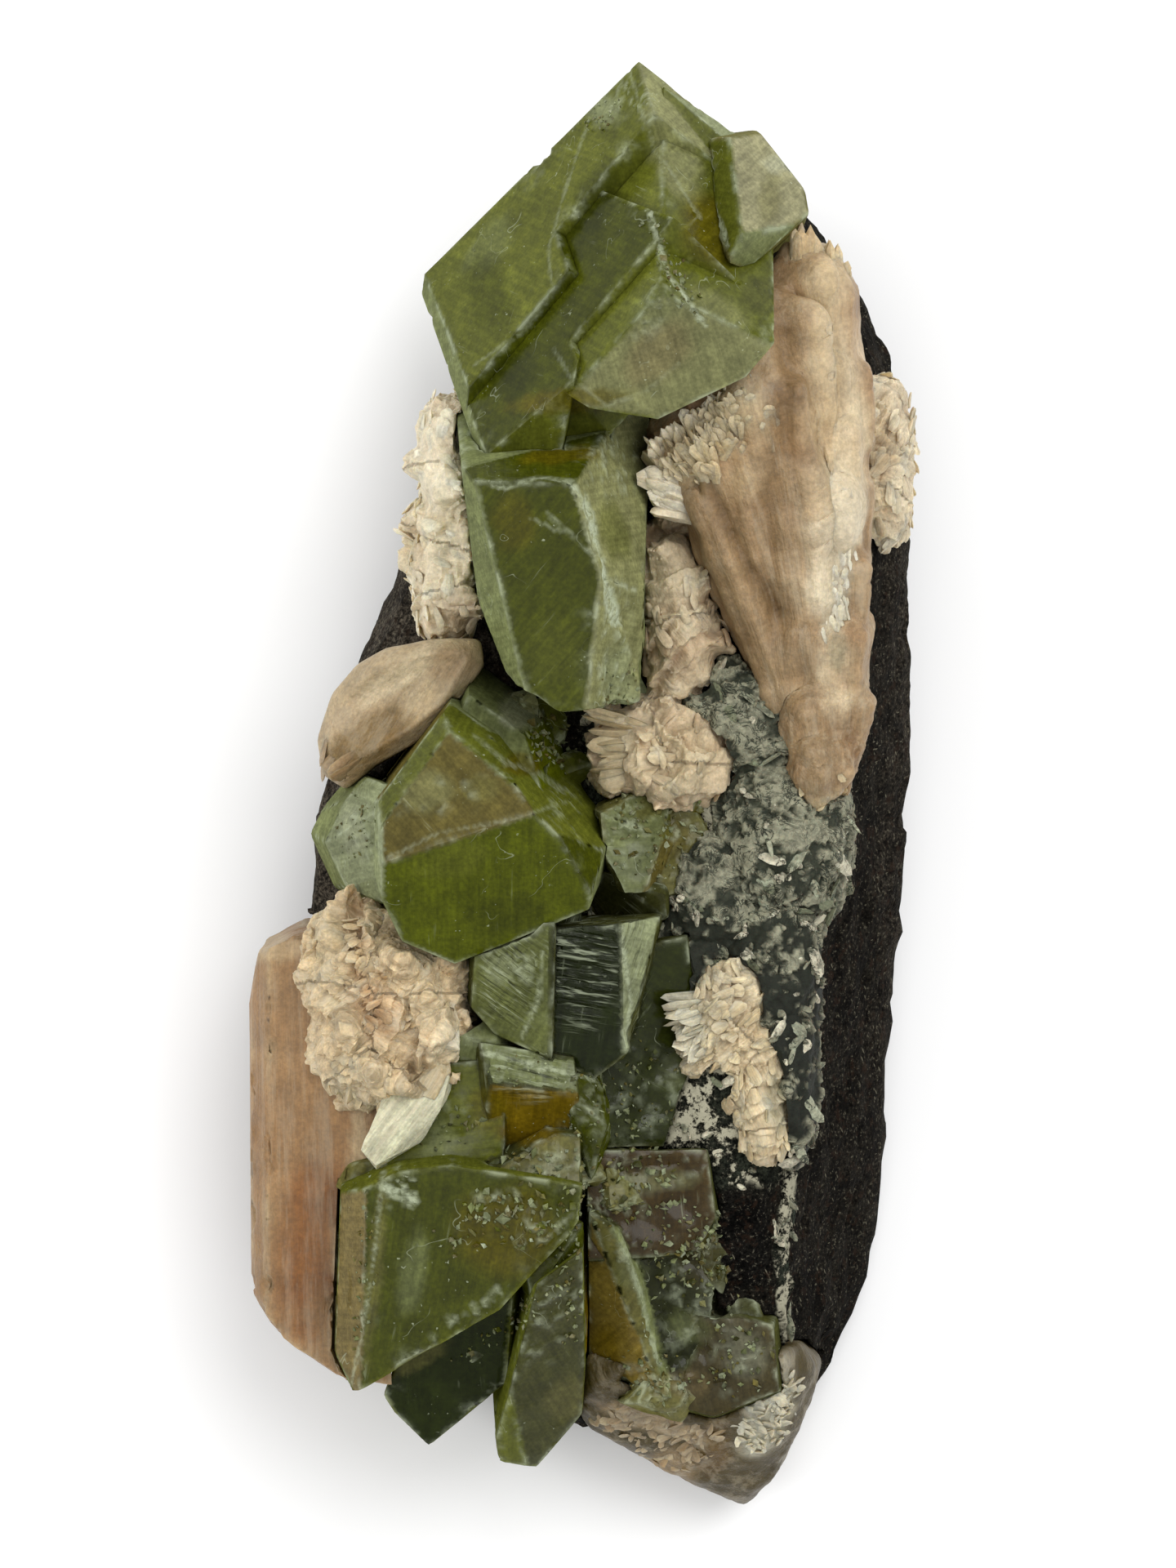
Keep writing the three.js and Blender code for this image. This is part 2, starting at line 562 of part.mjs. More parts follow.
const ROSETTE_MID = [
  {
    root: [7, 12.4, 14], count: 5, width: 5.4, thick: 3, closed: true, seed: 21,
    tips: [[5.2, 18.4, 27.5], [8.6, 17.4, 27.5], [9.8, 12.6, 27], [9.2, 8.4, 26.5], [5.6, 8.8, 26.5],
      [5.2, 13.4, 27.5]],
  },
  {
    root: [6.0, 1.6, 14], count: 8, width: 6.4, thick: 3.2, closed: true, seed: 22,
    tips: [[2.4, 5.0, 26], [6.8, 6.4, 26], [11.2, 4.2, 25], [11.6, 0.4, 25], [6.4, -1.8, 26], [0.6, -1.0, 26],
      [-0.4, 2.0, 25.5]],
  },
  {
    root: [6.2, 1.8, 18], count: 4, width: 5.4, thick: 3.2, closed: true, seed: 23,
    tips: [[3.4, 3.4, 28.5], [7.6, 3.6, 28.6], [7.8, 0.8, 28.6], [3.4, 0.4, 28.6]],
  },
];

const UPPER_LEFT = [
  {
    root: [-9.8, 24, 12], count: 5, width: 5.2, thick: 2.8, closed: true, seed: 31,
    tips: [[-11.8, 29.8, 21], [-9.4, 29.0, 24], [-8.6, 23.4, 27], [-9.4, 19.4, 26], [-12.6, 20.6, 23],
      [-12.6, 25.2, 22]],
  },
  {
    root: [-10.4, 16.4, 10], count: 5, width: 5.2, thick: 2.8, closed: true, seed: 32,
    tips: [[-12.2, 21.0, 22], [-9.4, 20.4, 25], [-8.2, 14.0, 25], [-9.0, 11.4, 23], [-12.0, 12.4, 20],
      [-13.6, 17.0, 20]],
  },
];

const ROSETTE_LEFT = [
  {
    root: [-15.2, -18.4, 18], count: 11, width: 5.4, thick: 2.8, closed: true, seed: 41,
    tips: [[-18.2, -8.2, 26], [-21.2, -11.2, 26], [-22.0, -16.4, 26], [-19.8, -19.0, 26], [-19.8, -24.0, 25],
      [-16.6, -28.4, 24], [-13.4, -28.0, 25], [-9.8, -21.0, 28], [-9.2, -16.6, 29], [-11.2, -12.8, 29],
      [-14.8, -9.8, 28]],
  },
  {
    root: [-15.4, -17.4, 17], count: 8, width: 5.4, thick: 3, closed: true, seed: 42,
    tips: [[-17.6, -12.0, 31], [-19.2, -16.0, 30], [-17.2, -20.6, 30.4], [-14.6, -23.4, 29.6], [-12.0, -19.6, 31.4],
      [-12.6, -14.8, 32]],
  },
];

const SPRAY_RIGHT = [
  {
    root: [10.4, -17.4, 16], count: 7, width: 4.6, thick: 2.6, closed: true, seed: 51,
    tips: [[7.8, -13.4, 24], [10.6, -13.0, 24.6], [13.2, -17.0, 24.6], [13.6, -20.6, 24.6], [10.8, -22.0, 25],
      [8.6, -18.6, 26]],
  },
  {
    root: [12.8, -24, 15], count: 6, width: 4.6, thick: 2.6, closed: true, seed: 52,
    tips: [[11.2, -20.4, 25], [14.6, -20.4, 24], [15.4, -25.4, 23.4], [14.4, -29.0, 22.6], [12.4, -27.4, 23.4],
      [11.0, -24.0, 24.6]],
  },
  {
    root: [9.8, -18.2, 19], count: 4, width: 4, thick: 2, seed: 53,
    tips: [[5.6, -16.2, 25], [6.2, -18.6, 25.4], [6.8, -20.6, 25.4], [8.4, -22.2, 25]],
  },
];

const UPPER_RIGHT = [
  {
    root: [20.0, 25, 11], count: 10, width: 4.6, thick: 2.6, closed: true, seed: 61,
    tips: [[20.6, 31.4, 20], [22.8, 29.2, 17], [24.4, 25.2, 16], [23.8, 19.4, 16], [21.2, 18.8, 20],
      [20.6, 25.4, 23]],
  },
];

// The close-grown bodies under the sprays: rounded lumps, half as wide each way as their size.
const BODIES = {
  rosette_mid: [
    { heart: [7.0, 12.6, 19.8], size: [3.0, 6.8, 7.2] },
    { heart: [6.0, 2.2, 19.6], size: [5.8, 4.2, 7.2] },
  ],
  upper_left: [
    { heart: [-10.5, 24.4, 17], size: [2.4, 5.8, 7.6] },
    { heart: [-10.7, 16.0, 16], size: [2.8, 5.4, 7.4] },
  ],
  rosette_left: [{ heart: [-15.2, -17.0, 22.6], size: [6.2, 8.2, 7] }],
  spray_right: [
    { heart: [10.8, -17.4, 20], size: [3.2, 4.8, 5.6] },
    { heart: [13.2, -24.0, 19.6], size: [2.5, 6.0, 5.4] },
  ],
  upper_right: [{ heart: [22.5, 24.8, 14], size: [2.8, 7.0, 7] }],
};

// A thick plate that bends like a petal.
const PETAL = {
  outline: [[-20.6, 3.4], [-19.4, 6.8], [-17.5, 9.0], [-15.3, 10.2], [-11.9, 10.9], [-8.4, 10.9], [-8.2, 9.2],
    [-10.2, 6.0], [-13.2, 3.4], [-16.4, 1.6], [-18.6, -0.2], [-20.2, 0.8]],
  base: 15.5, thick: 10, crest: [-12.5, 9.5], bend: 0.035,
};

function petal({ outline, base, thick, crest, bend }, grow) {
  const centre = outline.reduce((s, p) => [s[0] + p[0] / outline.length, s[1] + p[1] / outline.length], [0, 0]);
  const shape = new THREE.Shape(outline.map(([x, y]) => {
    const outward = new THREE.Vector2(x - centre[0], y - centre[1]);
    outward.setLength(outward.length() + grow);
    return new THREE.Vector2(centre[0] + outward.x, centre[1] + outward.y);
  }));
  const depth = thick + 2 * grow;
  const bevelSize = 0.9;
  const geometry = new THREE.ExtrudeGeometry(shape, {
    depth: depth - 2 * bevelSize, bevelThickness: bevelSize, bevelSize, bevelOffset: -bevelSize, bevelSegments: 1,
    steps: 2,
  });
  geometry.translate(0, 0, base - grow + bevelSize);
  const position = geometry.attributes.position;
  for (let i = 0; i < position.count; i += 1) {
    const dx = position.getX(i) - crest[0];
    const dy = position.getY(i) - crest[1];
    position.setZ(i, position.getZ(i) + 2.5 - bend * (dx * dx + dy * dy));
  }
  return solidOf(geometry);
}

// A broad single crystal lying beside the rock, striated along its length.
const SLAB = [{
  heart: [-20, -29, 15],
  foot: 7,
  faces: [
    through([-24.4, -14, 22.6], [-17.0, -14, 25], [-19.6, -44, 22]),
    wall([-24.6, -13, 22.6], [-24.6, -42, 21], 0.5),
    wall([-26.2, -17, 19], [-26.0, -40, 18], 0.02),
    wall([-26.3, -17.4, 19], [-25.5, -12.9, 19], 0),
    wall([-25.7, -13.0, 19], [-22.0, -11.1, 21], 0.05),
    wall([-22.2, -11.1, 20], [-14.8, -11.6, 20], 0.05),
    wall([-26.1, -39.0, 18], [-23.6, -42.7, 17], 0),
    wall([-23.8, -42.6, 17], [-19.0, -45.8, 16], 0),
    wall([-19.4, -45.7, 16], [-14, -46.3, 16], 0),
    wall([-15.0, -46, 18], [-14.4, -12, 20], 0),
  ],
}];

// The peach mass at the very foot, pointed towards -Y.
const TOE = {
  heart: [8, -48.8, 9.5], radii: [9, 7, 9], detail: 4, sharp: 20, rough: 0.25, pitch: 6,
  faces: [
    through([0, -45.6, 20.2], [13.4, -46.8, 18.8], [6, -51.6, 13.6]),
    through([5.6, -51.2, 14.0], [14.6, -49.6, 14.6], [12.4, -56.0, 7.4]),
    through([13.4, -45.4, 19.4], [14.6, -49.6, 14.6], [17.6, -46.6, 13]),
    wall([-0.6, -46, 16], [-0.5, -49.4, 9], 0),
    wall([-0.5, -49.6, 9], [9.4, -55.4, 8], 0),
    wall([9.0, -55.4, 8], [13.0, -57.0, 7], 0),
    wall([12.8, -56.8, 7], [17.2, -49.4, 8], 0),
    wall([17.2, -49.6, 8], [18.2, -44, 10], 0),
    facing([8, -43.6, 10], [0, 1, 0]),
    facing([8, -48, 2.5], [-0.2, -0.1, -1]),
  ],
};

// ---- the mottled crust and the basalt it covers ------------------------------------------
const CRUST_LUMPS = [
  { heart: [12.4, 5, 18.4], size: [6.4, 5.6, 7.4] },
  { heart: [14.6, -4, 18.4], size: [5.6, 7.4, 7.2] },
  { heart: [9.6, -8.6, 18], size: [5.4, 6, 7] },
  { heart: [8.4, -14.4, 17.6], size: [4, 5, 6.8] },
  { heart: [13.6, -13.6, 18], size: [4.4, 7.4, 6.8] },
  { heart: [14.4, -21.6, 18], size: [3.4, 8, 6.4] },
];

function lumps(list, grow) {
  return joined(list.map(({ heart, size }) => {
    const box = [0, 1, 2].flatMap((axis) => [1, -1].map((sign) => {
      const normal = [0, 0, 0];
      normal[axis] = sign;
      const at = [...heart];
      at[axis] += sign * size[axis];
      return facing(at, normal);
    }));
    return rock({ heart, radii: size, faces: box, detail: 2, sharp: 3, rough: 0.4, pitch: 6 }, grow);
  }));
}

const MATRIX = {
  heart: [3, -3, 11], radii: [24, 52, 14], detail: 7, sharp: 22, rough: 0.7, pitch: 12,
  faces: [
    facing([27.0, 20, 8], [0.9, 0.08, 0.43]),
    facing([25.6, -6, 8], [0.87, -0.1, 0.48]),
    facing([20.6, -32, 8], [0.88, -0.14, 0.45]),
    facing([17.6, -50, 8], [0.88, -0.42, 0.2]),
    facing([10, -54.4, 8], [0.1, -0.98, 0.1]),
    facing([-6, -48.2, 8], [-0.35, -0.92, 0.1]),
    facing([-19.6, -38, 8], [-0.85, -0.5, 0.1]),
    facing([-22.4, -18, 8], [-0.98, 0.0, 0.15]),
    facing([-21.6, 0.5, 10], [-0.96, 0.24, 0.12]),
    facing([-14.8, 16, 10], [-0.91, 0.4, 0.12]),
    facing([-6.0, 33, 10], [-0.8, 0.58, 0.12]),
    facing([6.5, 46, 10], [-0.4, 0.9, 0.15]),
    facing([17.6, 46.4, 8], [0.5, 0.84, 0.2]),
    facing([23.6, 35, 8], [0.86, 0.45, 0.24]),
    facing([14, 10, MATRIX_TOP + 1], [0.12, 0.02, 0.99]),
    facing([2, 5, MATRIX_TOP - 1], [-0.22, 0.04, 0.97]),
    facing([-14, -5, 15.5], [-0.55, 0, 0.83]),
    facing([8, 38, 19], [0.05, 0.3, 0.95]),
    facing([8, -44, 18.2], [0.05, -0.32, 0.94]),
    facing([-16, 0, 0], [-0.75, 0.1, -0.65]),
    facing([20.5, 0, 0], [0.8, 0.05, -0.6]),
    facing([4, 42, 0], [0, 0.8, -0.6]),
    facing([6, -47, 0], [0, -0.75, -0.65]),
  ],
};
const MATRIX_RAW_BELOW = 6; // the raw block reaches this far below the table before its back is cut flat

function matrix(grow) {
  const faces = [...MATRIX.faces, facing([0, 0, -MATRIX_RAW_BELOW], [0, 0, -1])];
  const block = rock({ ...MATRIX, faces }, grow);
  return block.trimByPlane([0, 0, 1], -grow);
}

// ---- the pieces, the hardest and best-formed first --------------------------------------
const crystals = (list) => (grow) => joined(list.map((one) => crystal(one, grow)));
const sprays = (list) => (grow) => joined(list.map((one) => spray(one, grow)));
const rosette = (list, body) => (grow) => sprays(list)(grow).add(lumps(body, grow));

const GREEN = { color: 0x6f7f46, roughness: 0.18, metalness: 0 };
const PALE_GREEN = { color: 0x9fae8c, roughness: 0.25, metalness: 0 };
const AMBER = { color: 0x7d6f35, roughness: 0.25, metalness: 0 };
const PEACH = { color: 0xcfae92, roughness: 0.55, metalness: 0 };
const CREAM = { color: 0xe2d2bb, roughness: 0.6, metalness: 0 };
const SALMON = { color: 0xc79476, roughness: 0.5, metalness: 0 };
const CRUST_GREY = { color: 0x9ea698, roughness: 0.8, metalness: 0 };
const BASALT = { color: 0x2f2a27, roughness: 0.85, metalness: 0 };

const PIECES = [
  ['apophyllite_crown', crystals(CROWN), GREEN],
  ['apophyllite_crown_side', crystals(CROWN_SIDE), PALE_GREEN],
  ['apophyllite_middle', crystals(MIDDLE), GREEN],
  ['apophyllite_roof', crystals(ROOF), GREEN],
  ['apophyllite_shoulder', crystals(SHOULDER), PALE_GREEN],
  ['apophyllite_etched', crystals(ETCHED), GREEN],
  ['apophyllite_foot', crystals(FOOT), GREEN],
  ['apophyllite_amber', crystals(FOOT_AMBER), AMBER],
  ['stilbite_slab', crystals(SLAB), SALMON],
  ['stilbite_toe', (grow) => rock(TOE, grow), PEACH],
  ['basalt_matrix', matrix, BASALT],
  ['stilbite_petal', (grow) => petal(PETAL, grow), PEACH],
  ['stilbite_bow_tie', sprays(BOW_TIE), PEACH],
  ['stilbite_rosette_mid', rosette(ROSETTE_MID, BODIES.rosette_mid), PEACH],
  ['stilbite_rosette_left', rosette(ROSETTE_LEFT, BODIES.rosette_left), CREAM],
  ['stilbite_spray_right', rosette(SPRAY_RIGHT, BODIES.spray_right), CREAM],
  ['stilbite_upper_left', rosette(UPPER_LEFT, BODIES.upper_left), PEACH],
  ['stilbite_upper_right', rosette(UPPER_RIGHT, BODIES.upper_right), CREAM],
  ['zeolite_crust', (grow) => lumps(CRUST_LUMPS, grow), CRUST_GREY],
];

const group = new THREE.Group();
let taken = null; // everything placed so far, grown by GAP
for (const [name, build, look] of PIECES) {
  const solid = taken ? build(0).subtract(taken) : build(0);
  const mesh = new THREE.Mesh(geometryOf(largestBody(solid)), new THREE.MeshStandardMaterial(look));
  mesh.name = name;
  group.add(mesh);
  taken = taken ? taken.add(build(GAP)) : build(GAP);
}

// The origin is the middle of the underside.
const bounds = new THREE.Box3().setFromObject(group);
const middle = bounds.getCenter(new THREE.Vector3());
group.position.set(-middle.x, -middle.y, -bounds.min.z);

export default group;
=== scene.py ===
"""Looks of the apophyllite cluster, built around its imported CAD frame.

Every node of the frame is replaced by a finer mesh made from that node's own solid. Shapes are
worked out in millimetres and written to Blender in metres. The camera looks straight down.
Places are in growth coordinates, whose origin is at the middle of the camera's view. A zone is
an ellipse seen from above: (x, y, across, along, turn), with any colour and amount after it.
"""
import math

import bmesh
import bpy
import numpy as np
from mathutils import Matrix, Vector, geometry
from mathutils.bvhtree import BVHTree


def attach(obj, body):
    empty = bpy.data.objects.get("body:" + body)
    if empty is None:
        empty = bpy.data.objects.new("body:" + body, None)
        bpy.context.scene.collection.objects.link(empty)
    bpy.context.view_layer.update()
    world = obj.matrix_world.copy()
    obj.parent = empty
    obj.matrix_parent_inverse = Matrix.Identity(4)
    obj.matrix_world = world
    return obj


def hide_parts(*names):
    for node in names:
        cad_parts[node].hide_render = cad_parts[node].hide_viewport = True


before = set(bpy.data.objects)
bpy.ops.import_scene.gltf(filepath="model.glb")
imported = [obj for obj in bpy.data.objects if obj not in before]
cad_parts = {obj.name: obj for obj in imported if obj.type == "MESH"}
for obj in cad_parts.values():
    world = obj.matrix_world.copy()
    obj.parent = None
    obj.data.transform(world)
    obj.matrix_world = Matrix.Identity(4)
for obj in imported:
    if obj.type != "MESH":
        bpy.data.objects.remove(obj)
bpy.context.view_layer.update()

MM = 0.001
SHIFT = np.array([0.521, 0.795, 0.0])  # from growth coordinates to the frame's, in mm
TABLE = 0.02  # mm above the table where the lowest point of any piece is
FAR = 1e9  # more than any distance
FACE_STEP, BLADE_STEP, SHEAF_STEP = 7.3, 3.7, 31.0  # keep the patterns of faces, blades and sheaves apart

# ---- camera and light
CAMERA_HEIGHT = 700.0  # mm above the table
SENSOR = 36.0
LENS = 202.5  # shows 120 mm of length at 25 mm above the table
FLOOR = 3.0  # m, half its width
SKY_HORIZON, SKY_ZENITH = 0.3, 1.15  # brightness of the studio around and above
LAMPS = {"key": ((0.45, 0.5, 1.05), 1.0, 9.5), "fill": ((-0.9, 0.0, 0.8), 0.8, 4.0)}  # place, width in m, W

# ---- noise
HASH_STEPS = (0x8DA6B343, 0xD8163841, 0xCB1AB31F, 0x9E3779B9)
HASH_MIXES = ((15, 0x2C1B3C6D), (12, 0x297A2D39))


def lattice(cell, seed):
    """A random value from 0 to 1 for every whole-number place in cell."""
    x, y, z = np.moveaxis(cell.astype(np.int64).astype(np.uint32), -1, 0)
    h = x * np.uint32(HASH_STEPS[0]) ^ y * np.uint32(HASH_STEPS[1]) ^ z * np.uint32(HASH_STEPS[2])
    h ^= np.uint32((seed * HASH_STEPS[3]) & 0xFFFFFFFF)
    for shift, factor in HASH_MIXES:
        h = (h ^ h >> np.uint32(shift)) * np.uint32(factor)
    return (h ^ h >> np.uint32(HASH_MIXES[0][0])) / 4294967295.0


def noise(points, pitch, seed=0):
    """Smooth noise from -1 to 1 whose lumps are about pitch mm apart."""
    p = np.asarray(points) / pitch
    base = np.floor(p)
    w = p - base
    w = w * w * (3 - 2 * w)
    total = np.zeros(len(p))
    for corner in np.ndindex(2, 2, 2):
        share = np.abs(1 - np.array(corner) - w)
        total += share[:, 0] * share[:, 1] * share[:, 2] * lattice(base + corner, seed)
    return total * 2 - 1


def fractal(points, pitch, octaves=3, seed=0, gain=0.5):
    weights = gain ** np.arange(octaves)
    return sum(weight * noise(points, pitch / 2 ** octave, seed + octave)
               for octave, weight in enumerate(weights)) / weights.sum()


def smooth(value, low, high):
    """0 below low, 1 above high, and a smooth rise between them."""
    t = np.clip((value - low) / (high - low), 0, 1)
    return t * t * (3 - 2 * t)


# ---- colours and zones
# What the studio light adds to a face, and how much it shows of its tint.
GLOSS, BODY_LIGHT = 0.016, 0.92
MATT_GLOSS, MATT_LIGHT = 0.015, 1.2


def linear(r, g, b):
    """A display colour, 0 to 255, as the light it stands for."""
    return np.array([((c / 255 + 0.055) / 1.055) ** 2.4 if c > 10 else c / 255 / 12.92 for c in (r, g, b)])


def glassy(r, g, b):
    """The tint of a crystal face that shows as this display colour."""
    return np.maximum((linear(r, g, b) - GLOSS) / BODY_LIGHT, 0.003)


def matt(r, g, b):
    """The tint of a matt face that shows as this display colour."""
    return np.maximum((linear(r, g, b) - MATT_GLOSS) / MATT_LIGHT, 0.002)


def blended(tint, share, colour):
    """The tint with a share of another colour at each point."""
    return tint + share[:, None] * (colour - tint)


def zone_share(points, x, y, across, along, turn, seed):
    """1 inside a zone and 0 outside it, with an uneven soft edge."""
    turned = math.radians(turn)
    dx, dy = points[:, 0] - SHIFT[0] - x, points[:, 1] - SHIFT[1] - y
    u = (dx * math.cos(turned) + dy * math.sin(turned)) / across
    v = (dy * math.cos(turned) - dx * math.sin(turned)) / along
    edge = 0.3 * fractal(points, max(0.9 * min(across, along), 0.8), 2, seed)
    return 1 - smooth(np.hypot(u, v) + edge, 0.55, 1.15)


def zoned(points, base, zones, seed):
    """A tint with patches of colour laid over it."""
    tint = np.broadcast_to(base, points.shape)
    for number, (*zone, colour, amount) in enumerate(zones):
        tint = blended(tint, amount * zone_share(points, *zone, seed + number), colour)
    return tint


def reach_to(flat, segments):
    """Distance from each flat point to the nearest of the segments, given as pairs of ends."""
    best = np.full(len(flat), FAR)
    for a, b in segments:
        along = b - a
        t = np.clip(((flat - a) @ along) / max(along @ along, 1e-12), 0, 1)
        best = np.minimum(best, np.linalg.norm(flat - a - t[:, None] * along, axis=1))
    return best


def line_distance(points, line):
    """Distance, seen from above, from each point to a line of places."""
    line = np.array(line, float)
    return reach_to(points[:, :2] - SHIFT[:2], zip(line[:-1], line[1:]))


# ---- meshes
def unit(vectors):
    """The vectors at length 1."""
    return vectors / np.maximum(np.linalg.norm(vectors, axis=-1), 1e-12)[..., None]


def arrays_of(mesh):
    """The corners of a Blender mesh and its triangles."""
    mesh.calc_loop_triangles()
    corners = np.zeros(len(mesh.vertices) * 3, np.float32)
    mesh.vertices.foreach_get("co", corners)
    tris = np.zeros(len(mesh.loop_triangles) * 3, np.int32)
    mesh.loop_triangles.foreach_get("vertices", tris)
    return corners.reshape(-1, 3), tris.reshape(-1, 3)


def whole(tris):
    """The triangles that have three different corners."""
    a, b, c = tris.T
    return tris[(a != b) & (b != c) & (c != a)]


def solid_of(node):
    """The corners of a CAD node in mm, and its triangles, with shared corners merged."""
    corners, tris = arrays_of(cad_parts[node].data)
    unique, place = np.unique(np.round(corners / MM, 4), axis=0, return_inverse=True)
    return unique.astype(float), whole(place.reshape(-1)[tris])


def joined(parts):
    """One mesh from several."""
    starts = np.cumsum([0] + [len(points) for points, _ in parts])
    tris = [tris + start for (_, tris), start in zip(parts, starts)]
    return np.vstack([points for points, _ in parts]), np.vstack(tris)


def tree_of(*parts):
    """A search tree over meshes."""
    points, tris = joined(parts)
    return BVHTree.FromPolygons(points.tolist(), tris.tolist())


def nearness(points, tree, reach=6.0):
    """Distance to the nearest surface in the tree, no more than reach."""
    found = (tree.find_nearest(Vector(p), reach) for p in points)
    return np.array([hit[3] if hit[3] is not None else reach for hit in found])


def triangle_normals(points, tris):
    a, b, c = (points[tris[:, i]] for i in range(3))
    normal = np.cross(b - a, c - a)
    area = np.linalg.norm(normal, axis=1)
    return normal / np.maximum(area, 1e-12)[:, None], area / 2


def vertex_normals(points, tris):
    normal, area = triangle_normals(points, tris)
    total = np.zeros_like(points)
    for corner in tris.T:
        np.add.at(total, corner, normal * area[:, None])
    return unit(total)


def edges_of(tris):
    """Every edge once, and for each triangle the places of its edges 01, 12 and 20."""
    pairs = np.sort(tris[:, [0, 1, 1, 2, 2, 0]].reshape(-1, 2), axis=1)
    edges, place = np.unique(pairs, axis=0, return_inverse=True)
    return edges, place.reshape(-1, 3)


def refine(points, tris, longest, passes=8):
    """Splits every edge longer than longest at its middle, until none is left. longest is a
    length, or a function that gives one for each edge from its middle."""
    for _ in range(passes):
        edges, sides = edges_of(tris)
        length = np.linalg.norm(points[edges[:, 0]] - points[edges[:, 1]], axis=1)
        centre = points[edges].mean(axis=1)
        cut = length > (longest(centre) if callable(longest) else longest)
        if not cut.any():
            break
        middle = np.full(len(edges), -1)
        middle[cut] = len(points) + np.arange(cut.sum())
        points = np.vstack([points, centre[cut]])
        m = middle[sides]
        count = (m >= 0).sum(axis=1)
        made = [tris[count == 0]]
        for turn in range(3):
            a, b, c = np.roll(tris, -turn, axis=1).T
            ab, bc, _ = np.roll(m, -turn, axis=1).T
            one = (count == 1) & (ab >= 0)
            two = (count == 2) & (ab >= 0) & (bc >= 0)
            for rows, corners in ((one, (a, ab, c)), (one, (ab, b, c)),
                                  (two, (ab, b, bc)), (two, (a, ab, bc)), (two, (a, bc, c))):
                made.append(np.stack(corners, 1)[rows])
        three = count == 3
        a, b, c = tris[three].T
        ab, bc, ca = m[three].T
        made += [np.stack(t, 1) for t in ((a, ab, ca), (ab, b, bc), (ca, bc, c), (ab, bc, ca))]
        tris = np.vstack(made)
    return points, tris


def relax(points, tris, passes):
    """Moves each point towards the middle of its neighbours."""
    edges, _ = edges_of(tris)
    degree = np.bincount(edges.ravel(), minlength=len(points))[:, None]
    for _ in range(passes):
        total = np.zeros_like(points)
        np.add.at(total, edges[:, 0], points[edges[:, 1]])
        np.add.at(total, edges[:, 1], points[edges[:, 0]])
        points = points + 0.5 * (total / np.maximum(degree, 1) - points)
    return points


# ---- crystals: every flat face is meshed anew, fine near its edges
SLIVER = 1e-4  # mm2
GROW = 0.16  # each crystal grows by this to meet its neighbours, mm
RIM = 0.8  # width of the finer mesh along a face's edge, mm
DOWNWARD, HIDDEN_SCALE = -0.3, 2.5  # a face that looks down more than this has a coarser mesh
BEVEL, CHIP, WAVE, ETCH, SCAR = 0.07, 0.45, 0.04, 0.22, 0.25  # how deep or high each is, mm
BEVEL_WIDTH, RIM_WIDTH, CHIP_WIDTH = 0.12, 0.13, 0.5  # how fast each fades from an edge, mm
CRYSTAL_MESH, SLAB_MESH = (0.28, 0.5), (0.35, 0.6)  # mesh size near a face's edge and inside it, mm
MARK_REACH, CLEARANCE = 0.5, 0.55  # fine mesh around a mark, mm; free strip at an edge, by mesh size
FLAT, SAME_WAY, RIDGE = 0.02, 0.99, 0.97  # mm off a plane; cosines of one face and of a ridge
ROW, JITTER = 0.866, 0.12  # of a hexagonal grid, by its pitch
SPLINTER = np.array([[1, 0, 0], [0, 1, 0], [-1, 0, 0], [0, -1, 0], [0, 0, 1], [0, 0, -1]], float)
SPLINTER_TRIS = np.array([(0, 1, 4), (1, 2, 4), (2, 3, 4), (3, 0, 4), (1, 0, 5), (2, 1, 5), (3, 2, 5), (0, 3, 5)])


def flat_faces(points, tris):
    """Groups the triangles by the plane they lie in. Gives a group number for each, and how many
    groups there are."""
    normal, area = triangle_normals(points, tris)
    sides = edges_of(tris)[1].ravel()
    order = np.argsort(sides, kind="stable")
    owner, edge = order // 3, sides[order]
    neighbours = [[] for _ in tris]
    for i in np.nonzero(edge[1:] == edge[:-1])[0]:
        neighbours[owner[i]].append(owner[i + 1])
        neighbours[owner[i + 1]].append(owner[i])
    group = np.full(len(tris), -1)
    made = 0
    for start in np.argsort(-area):
        if group[start] >= 0:
            continue
        group[start] = made
        reach = points[tris[start, 0]] @ normal[start]
        todo = [start]
        while todo:
            for other in neighbours[todo.pop()]:
                off = np.abs(points[tris[other]] @ normal[start] - reach).max()
                level = normal[other] @ normal[start] > SAME_WAY or area[other] < SLIVER
                if group[other] < 0 and off < FLAT and level:
                    group[other] = made
                    todo.append(other)
        made += 1
    return group, made


def face_under(points, tris, group, place):
    """The number of the topmost face over a place."""
    a, b, c = (points[tris[:, i]] for i in range(3))
    ab, ac, ap = b - a, c - a, np.array([*place, 0]) + SHIFT - a
    area = ab[:, 0] * ac[:, 1] - ab[:, 1] * ac[:, 0]
    area[np.abs(area) < 1e-9] = 1e-9
    u = (ap[:, 0] * ac[:, 1] - ap[:, 1] * ac[:, 0]) / area
    v = (ab[:, 0] * ap[:, 1] - ab[:, 1] * ap[:, 0]) / area
    height = a[:, 2] + u * ab[:, 2] + v * ac[:, 2]
    height[(u < 0) | (v < 0) | (u + v > 1)] = -1
    return group[height.argmax()]


def inside(flat, loops):
    """Which of the flat points lie inside the outline, given as pairs of ends."""
    odd = np.zeros(len(flat), bool)
    for (ax, ay), (bx, by) in loops:
        if ay != by:
            crosses = (ay > flat[:, 1]) != (by > flat[:, 1])
            odd ^= crosses & (flat[:, 0] < (bx - ax) * (flat[:, 1] - ay) / (by - ay) + ax)
    return odd


